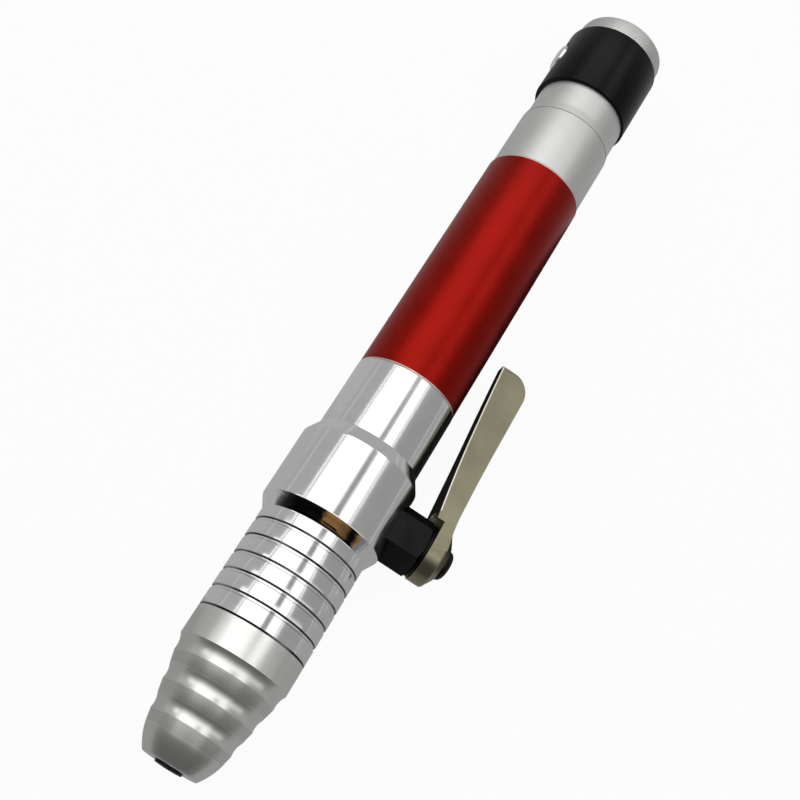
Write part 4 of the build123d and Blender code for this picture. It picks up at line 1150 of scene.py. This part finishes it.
@dataclass
class Tail:
    """Rear sleeve, black band, end cap and the latch button."""

    step_before: float = 8.0  # how far the step starts before the band
    step_length: float = 2.0  # length of the step
    rim: float = 0.16  # chamfer of the sleeve's front rim
    crease: Triple = (0.07, 0.1, 0.02)  # depth and rear run of the groove at the step, fall across it
    tail: float = 9.32  # radius behind the step
    socket: float = 7.15  # radius of the flexible shaft's socket
    socket_depth: float = 21.4  # its depth
    inner: float = 6.6  # radius of the chamber in front of the socket
    thread: float = 8.85  # radius of the bore for the grip's spigot
    thread_length: float = 6.05  # its length
    band_shift: float = 0.2  # how far the band's outside stands towards the button
    band_bore: float = 9.34  # radius of the band's bore
    outside: float = 11.0  # distance from the spindle that clears the sleeve
    # (along, radius) corners of the button's hole in the band.
    hole: tuple[Corner, ...] = ((5.0, 0.0), (5.0, 3.12), (9.55, 3.12), (10.6, 4.6), (10.6, 0.0))
    latch_before: float = 11.0  # distance of the latch from the rear face
    slot_play: Pair = (0.1, 0.05)  # play of the latch plate in its slot: along and to the sides
    button: float = 3.0  # radius of the button
    button_play: float = 0.12  # play of the button in its well
    well_overlap: float = 0.1  # how far the well reaches into the slot
    # (depth, inset) corners of the button's top.
    button_dome: tuple[Corner, ...] = ((0.62, 0.0, 0.2), (0.28, 0.5, 0.2), (0.08, 1.3, 0.2), (0.0, 2.2))
    cap_round: float = 1.0  # rounding of the end cap's rim
    cap_ease: float = 0.6  # chamfer of its mouth

    def __post_init__(self) -> None:
        """Reads the rear face and the latch's place from the packed model."""
        self.rear = box_mm("rear_end_cap")[1].x
        self.latch = (self.rear - self.latch_before, 0.0, 0.0)

    def build(self) -> None:
        """Builds the four pieces."""
        self.sleeve()
        self.band()
        self.cap()
        self.latch_button()

    def sleeve(self) -> None:
        """Turns the rear sleeve with its step and mills the latch's slot and the button's well."""
        low, high = box_mm("rear_sleeve")
        step = box_mm("lock_band")[0].x - self.step_before
        radius, bottom, chamber = high.z, self.rear - self.socket_depth, low.x + self.thread_length
        rim, (deep, run, fall) = self.rim, self.crease
        outline = [
            (low.x, self.thread), (low.x, radius - rim), (low.x + rim, radius, 0.05),
            (step - deep, radius, 0.02), (step, radius - deep), (step + run, radius - fall, 0.02),
            (step + self.step_length, self.tail, 0.4), (high.x, self.tail), (high.x, self.socket),
            (bottom, self.socket), (bottom, self.inner), (chamber, self.inner), (chamber, self.thread),
        ]
        piece = turn("rear_sleeve_shell", outline)
        low, high = box_mm("latch_plate")
        along, aside = self.slot_play
        front, back, side, half = low.x - along, high.x + along, self.outside, high.z + aside
        corners = [(front, -side, -half), (back, -side, -half), (back, side, -half), (front, side, -half)]
        piece.work(Workpiece("slot", corners).thicken((0.0, 0.0, 2 * half)), Join.CUT)
        well = bar(high.z - self.well_overlap, self.outside, self.button + self.button_play)
        piece.work(turn("well", well, Line.BUTTON, self.latch, steps=72), Join.CUT)
        piece.fit("casing", MATT_SILVER, "rear_sleeve", angle=14.0)

    def band(self) -> None:
        """Turns the band, bores it off its centre and cuts the button's hole."""
        low, high = box_mm("lock_band")
        piece = turn("lock_band_shell", bar(low.x, high.x, high.z, 0.22), centre=(0.0, self.band_shift, 0.0))
        piece.work(turn("bore", bar(low.x - PAST, high.x + PAST, self.band_bore)), Join.CUT)
        piece.work(turn("hole", self.hole, Line.BUTTON, self.latch, steps=72), Join.CUT)
        piece.fit("casing", BLACK_BAND, "lock_band", angle=24.0)

    def cap(self) -> None:
        """Turns the ring that closes the rear."""
        low, high = box_mm("rear_end_cap")
        outline = [
            (low.x, self.socket), (low.x, high.z), (high.x, high.z, self.cap_round),
            (high.x, self.socket + self.cap_ease, 0.1), (high.x - self.cap_ease, self.socket, 0.1),
        ]
        turn("end_cap_ring", outline).fit("casing", MATT_SILVER, "rear_end_cap", angle=30.0)

    def latch_button(self) -> None:
        """Turns the domed button."""
        low, high = box_mm("lock_button")
        top = dome(high.y, self.button, self.button_dome)
        outline = [(low.y, 0.0), (low.y, self.button), *top, (high.y, 0.0)]
        piece = turn("latch_button_dome", outline, Line.BUTTON, self.latch, steps=72)
        piece.fit("latch", POLISHED_STEEL, "lock_button", angle=50.0)


@dataclass
class Mechanism:
    """The inner pieces, which keep their packed shapes, and the two springs, built anew."""

    wire: float = 0.35  # radius of the closing spring's wire
    turns: int = 6  # its number of turns
    stroke: float = 1.56  # how far the drawbar slides into it
    strip: float = 0.3  # thickness of the leaf spring

    def build(self) -> None:
        """Assigns each inner node the finish of its slot and makes the springs."""
        slots = {part["node"]: part["material_slot"] for part in frame["record"]["subparts"]}
        for name, node in frame["nodes"].items():
            finish = LIT_PATCH_BRASS if name == "shift_ring" else FINISHES[slots[name]]
            for place in node.material_slots:
                place.material = finish.material()
            LOG.info("%s: %s finish", name, finish.slot)
        self.closing_spring()
        self.leaf_spring(1, "leaf_spring_upper")
        self.leaf_spring(-1, "leaf_spring_lower")

    def closing_spring(self) -> None:
        """Winds the closing spring."""
        low, high = box_mm("closing_spring")
        start, mean, wire, length = low.x + self.wire, high.z - self.wire, self.wire, high.x - low.x
        angles = [index * math.tau / 12 for index in range(12)]
        ring = [(start + wire * math.cos(angle), 0.0, wire * math.sin(angle) - mean) for angle in angles]
        rise = (length - 2 * wire) / self.turns * MM
        piece = Workpiece("closing_spring_coil", ring)
        piece.modify("SCREW", axis="X", iterations=self.turns, screw_offset=rise, steps=32, render_steps=32)
        with piece.editing():
            bpy.ops.mesh.remove_doubles(threshold=MERGE)
            bpy.ops.mesh.fill_holes(sides=0)
        made = piece.fit("spindle", SPRING_STEEL, "closing_spring")
        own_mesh(made)

    def leaf_spring(self, side: int, name: str) -> None:
        """Bends half of the leaf spring into an arc.

        Args:
            side: 1 for the upper half and -1 for the lower.
            name: name of the piece.
        """
        low, high = box_mm("leaf_spring")
        span, crown = high.z, -low.y - self.strip
        sag = crown + high.y
        radius = (span**2 + sag**2) / (2 * sag)
        steps = [span * index / 8 for index in range(9)]
        inner = [(low.x, radius - math.sqrt(radius**2 - along**2) - crown, side * along) for along in steps]
        outer = [(x, y - self.strip, z) for x, y, z in reversed(inner)]
        piece = Workpiece(name, [*inner, *outer]).thicken((high.x - low.x, 0.0, 0.0))
        made = piece.fit(None, SPRING_STEEL, "leaf_spring")
        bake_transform(made)


# ---- Studio ----


@dataclass(frozen=True)
class Strip:
    """A long soft light over the tool."""

    name: str  # its name
    start: float  # first edge, in degrees from overhead towards the lever's side
    end: float  # last edge
    front: float  # its front end along the tool, in metres
    back: float  # its rear end
    radiance: float  # its brightness, where 1 is white


@dataclass(frozen=True)
class Card:
    """A glowing card on the floor that only shows in reflections, where it paints the floor's tone and shade.
    """

    name: str  # its name
    along: Pair  # its ends along the tool, in millimetres
    across: Pair  # its edges across the tool, in millimetres
    grey: float  # how bright it is, where 1 is white


@dataclass
class Studio:
    """Pale floor, soft lights, dim room and camera."""

    reach: float = 0.6  # distance of the lights from the spindle line, in metres
    drop: float = 0.3 * MM  # height of the object over the floor, in metres
    stack: float = 0.02 * MM  # height between one card and the next, in metres
    # The lights.
    strips: tuple[Strip, ...] = (
        Strip("key_edge", -57.0, -54.0, -0.12, 0.95, 0.95),
        Strip("key", -50.5, 1.5, -0.12, 0.95, 1.06),
        Strip("fill", 12.5, 32.0, -0.12, 0.95, 1.03),
        Strip("fill_edge", 34.5, 37.0, -0.12, 0.95, 0.9),
        Strip("nose_key", -70.0, -57.5, -0.12, 0.11, 0.85),
        Strip("nose_middle", 2.0, 12.0, -0.12, 0.09, 0.92),
        Strip("nose_fill", 37.5, 72.0, -0.12, 0.09, 0.42),
        Strip("front_key", -50.0, -4.0, -0.27, -0.13, 0.42),
        Strip("front_fill", -3.5, 34.0, -0.27, -0.13, 0.33),
    )
    # Glowing dark and grey cards on the floor, seen only in reflections; the near-black lever_side card is a
    # painted shade for the floor's shadow beside the lever.
    cards: tuple[Card, ...] = (
        Card("nose_side", (-45.0, 52.0), (-90.0, 0.0), 0.35),
        Card("lever_side", (52.0, 136.0), (-46.0, 0.0), 0.012),
        Card("lever_edge", (52.0, 136.0), (-90.0, -46.0), 0.44),
        Card("tail_side", (136.0, 260.0), (-90.0, 0.0), 0.48),
        Card("nose_button_side", (-45.0, 28.0), (0.0, 90.0), 0.33),
        Card("barrel_side", (28.0, 75.0), (0.0, 90.0), 0.42),
        Card("button_side", (75.0, 260.0), (0.0, 90.0), 0.45),
        Card("far_lever_side", (-45.0, 900.0), (-900.0, -90.0), 0.36),
        Card("far_button_side", (-45.0, 900.0), (90.0, 900.0), 0.40),
        Card("front", (-900.0, -45.0), (-900.0, 900.0), 0.13),
    )
    # (axis, start, end, strength at the start, strength at the end) of the room's shades.
    room: tuple[tuple[str, float, float, float, float], ...] = (
        ("X", -0.66, 0.10, 0.03, 0.43), ("Z", 0.75, 0.95, 1.0, 0.55), ("Y", -0.75, -0.35, 0.72, 1.0)
    )
    paper: Pair = (0.78, 0.82)  # darkest and lightest tone of the floor's paper
    paper_shown: float = 0.95  # how white the floor looks to the camera, metal and glass
    card_swing: float = 0.08  # share by which a card's grey wanders
    white: Colour = (0.98, 0.98, 0.98)  # linear colour of the room behind the object
    shown: float = 0.10  # share of the white room that metal and glass show
    lens: float = 54.63  # focal length, in millimetres
    stand: Point = (-10.9, 14.31, 204.6)  # the camera's place, in millimetres
    aim: Point = (0.3856, -0.0644, -0.9205)  # its viewing direction
    over: Point = (0.7806, 0.5546, 0.2882)  # its upward direction

    def build(self, low: Vector) -> None:
        """Builds the whole studio.

        Args:
            low: lowest corner of the object, which lies just over the floor.
        """
        height = low.z - self.drop
        self.floor(height)
        for index, card in enumerate(self.cards, 1):
            self.card(card, height + self.stack * index)
        self.world()
        for strip in self.strips:
            self.light(strip)
        self.camera()

    def white_seen(self, tree: Tree, share: float) -> Socket:
        """How far a ray shows the white room: in full for the camera, and a share for metal and glass."""
        path = tree.node("ShaderNodeLightPath").outputs
        seen = path["Is Camera Ray"]
        for ray in ("Is Glossy Ray", "Is Transmission Ray"):
            seen = tree.maths("MAXIMUM", seen, tree.maths("MULTIPLY", path[ray], share))
        return seen

    def sheet(self, name: str, size: float, place: Point) -> tuple[bpy.types.Object, Tree, Socket]:
        """Lays a flat square with a material of its own.

        Args:
            name: name of the sheet and of its material.
            size: length of its sides, in metres.
            place: its middle, in metres.

        Returns:
            The sheet, its material's tree and the coordinates on it.
        """
        clear_selection()
        bpy.ops.mesh.primitive_plane_add(size=size, location=place)
        made = bpy.context.object
        made.name = name
        material, tree = new_material(name)
        made.data.materials.append(material)
        return made, tree, tree.node("ShaderNodeTexCoord").outputs["Object"]

    def floor(self, height: float) -> None:
        """Lays the floor: pale paper that shows white to the camera, metal and glass.

        Args:
            height: height of its top, in metres.
        """
        floor, tree, place = self.sheet("studio_floor", 6.0, (0.0, 0.0, height))
        tone = tree.ramp(tree.noise(place, 300.0, 2.0), 0.0, 1.0, *self.paper)
        paper = tree.node("ShaderNodeBsdfDiffuse", {"Color": tone})
        white = tree.node("ShaderNodeEmission", {"Strength": 1.0})
        seen = tree.maths("MULTIPLY", self.white_seen(tree, 1.0), self.paper_shown)
        tree.node("ShaderNodeOutputMaterial", {"Surface": tree.blend(seen, paper, white)})
        floor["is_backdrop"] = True

    def card(self, sheet: Card, height: float) -> None:
        """Lays a card on the floor.

        Args:
            sheet: the card.
            height: height of the card, in metres.
        """
        (front, back), (near, far) = sheet.along, sheet.across
        middle = ((front + back) / 2 * MM, (near + far) / 2 * MM, height)
        card, tree, place = self.sheet(f"studio_{sheet.name}", 1.0, middle)
        bpy.ops.transform.resize(value=((back - front) * MM, (far - near) * MM, 1.0))
        dark, light = sheet.grey * (1 - self.card_swing), sheet.grey * (1 + self.card_swing)
        tone = tree.ramp(tree.noise(place, 40.0, 1.0), 0.0, 1.0, dark, light)
        paper = tree.node("ShaderNodeEmission", {"Strength": tone})
        tree.node("ShaderNodeOutputMaterial", {"Surface": paper.outputs[0]})
        card.visible_camera = False
        card.visible_diffuse = False
        card.visible_shadow = False
        card.visible_transmission = False
        card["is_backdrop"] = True

    def world(self) -> None:
        """Paints the room: pale grey, darker overhead, in front of the nose and beside the lever."""
        world = bpy.data.worlds.new("studio")
        bpy.context.scene.world = world
        world.use_nodes = True
        tree = Tree(world.node_tree)
        parts = tree.parts(tree.node("ShaderNodeTexCoord").outputs["Generated"])
        strength: object = 1.0
        for axis, *shade in self.room:
            strength = tree.maths("MULTIPLY", strength, tree.ramp(parts[axis], *shade, soft=True))
        room = tree.node("ShaderNodeBackground", {"Strength": strength})
        white = tree.node("ShaderNodeBackground", {"Color": rgba(self.white)})
        shown = tree.blend(self.white_seen(tree, self.shown), room, white)
        tree.node("ShaderNodeOutputWorld", {"Surface": shown})

    def light(self, strip: Strip) -> None:
        """Hangs one strip light over the tool.

        Args:
            strip: the light.
        """
        middle = math.radians((strip.start + strip.end) / 2)
        width = 2 * self.reach * math.tan(math.radians(strip.end - strip.start) / 2)
        length = strip.back - strip.front
        bpy.ops.object.light_add(type="AREA")
        lamp = bpy.context.object
        lamp.name = f"studio_{strip.name}"
        lamp.data.shape = "RECTANGLE"
        lamp.data.size = length
        lamp.data.size_y = width
        lamp.data.energy = strip.radiance * math.pi * length * width
        away = Vector((0.0, -math.sin(middle), math.cos(middle)))
        along = Vector((1.0, 0.0, 0.0))
        place = away * self.reach + along * (strip.front + strip.back) / 2
        self.stand_up(lamp, place, (along, away.cross(along), away))
        lamp.visible_camera = False

    def stand_up(self, item: bpy.types.Object, place: Vector, axes: Sequence[Vector]) -> None:
        """Puts a light or camera at a place, in metres, with its own axes along the given ones."""
        item.matrix_world = Matrix.Translation(place) @ Matrix(axes).transposed().to_4x4()

    def camera(self) -> None:
        """Places the camera and sets the view."""
        away = -Vector(self.aim).normalized()
        right = Vector(self.over).cross(away).normalized()
        bpy.ops.object.camera_add()
        camera = bpy.context.object
        camera.name = "studio_camera"
        camera.data.lens = self.lens
        camera.data.sensor_width = 36.0
        camera.data.clip_start = 0.01
        self.stand_up(camera, Vector(self.stand) * MM, (right, away.cross(right), away))
        bpy.context.scene.camera = camera
        bpy.context.scene.view_settings.view_transform = "Standard"


def main() -> None:
    """Builds every sub-assembly and the studio."""
    logging.basicConfig(level=logging.INFO, format="%(name)s: %(message)s")
    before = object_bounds()
    for assembly in (Mechanism(), Nose(), FrontHousing(), LeverWork(), Grip(), Tail()):
        LOG.info("building %s", type(assembly).__name__)
        assembly.build()
    Studio().build(before[0])


if __name__ == "__main__":
    main()
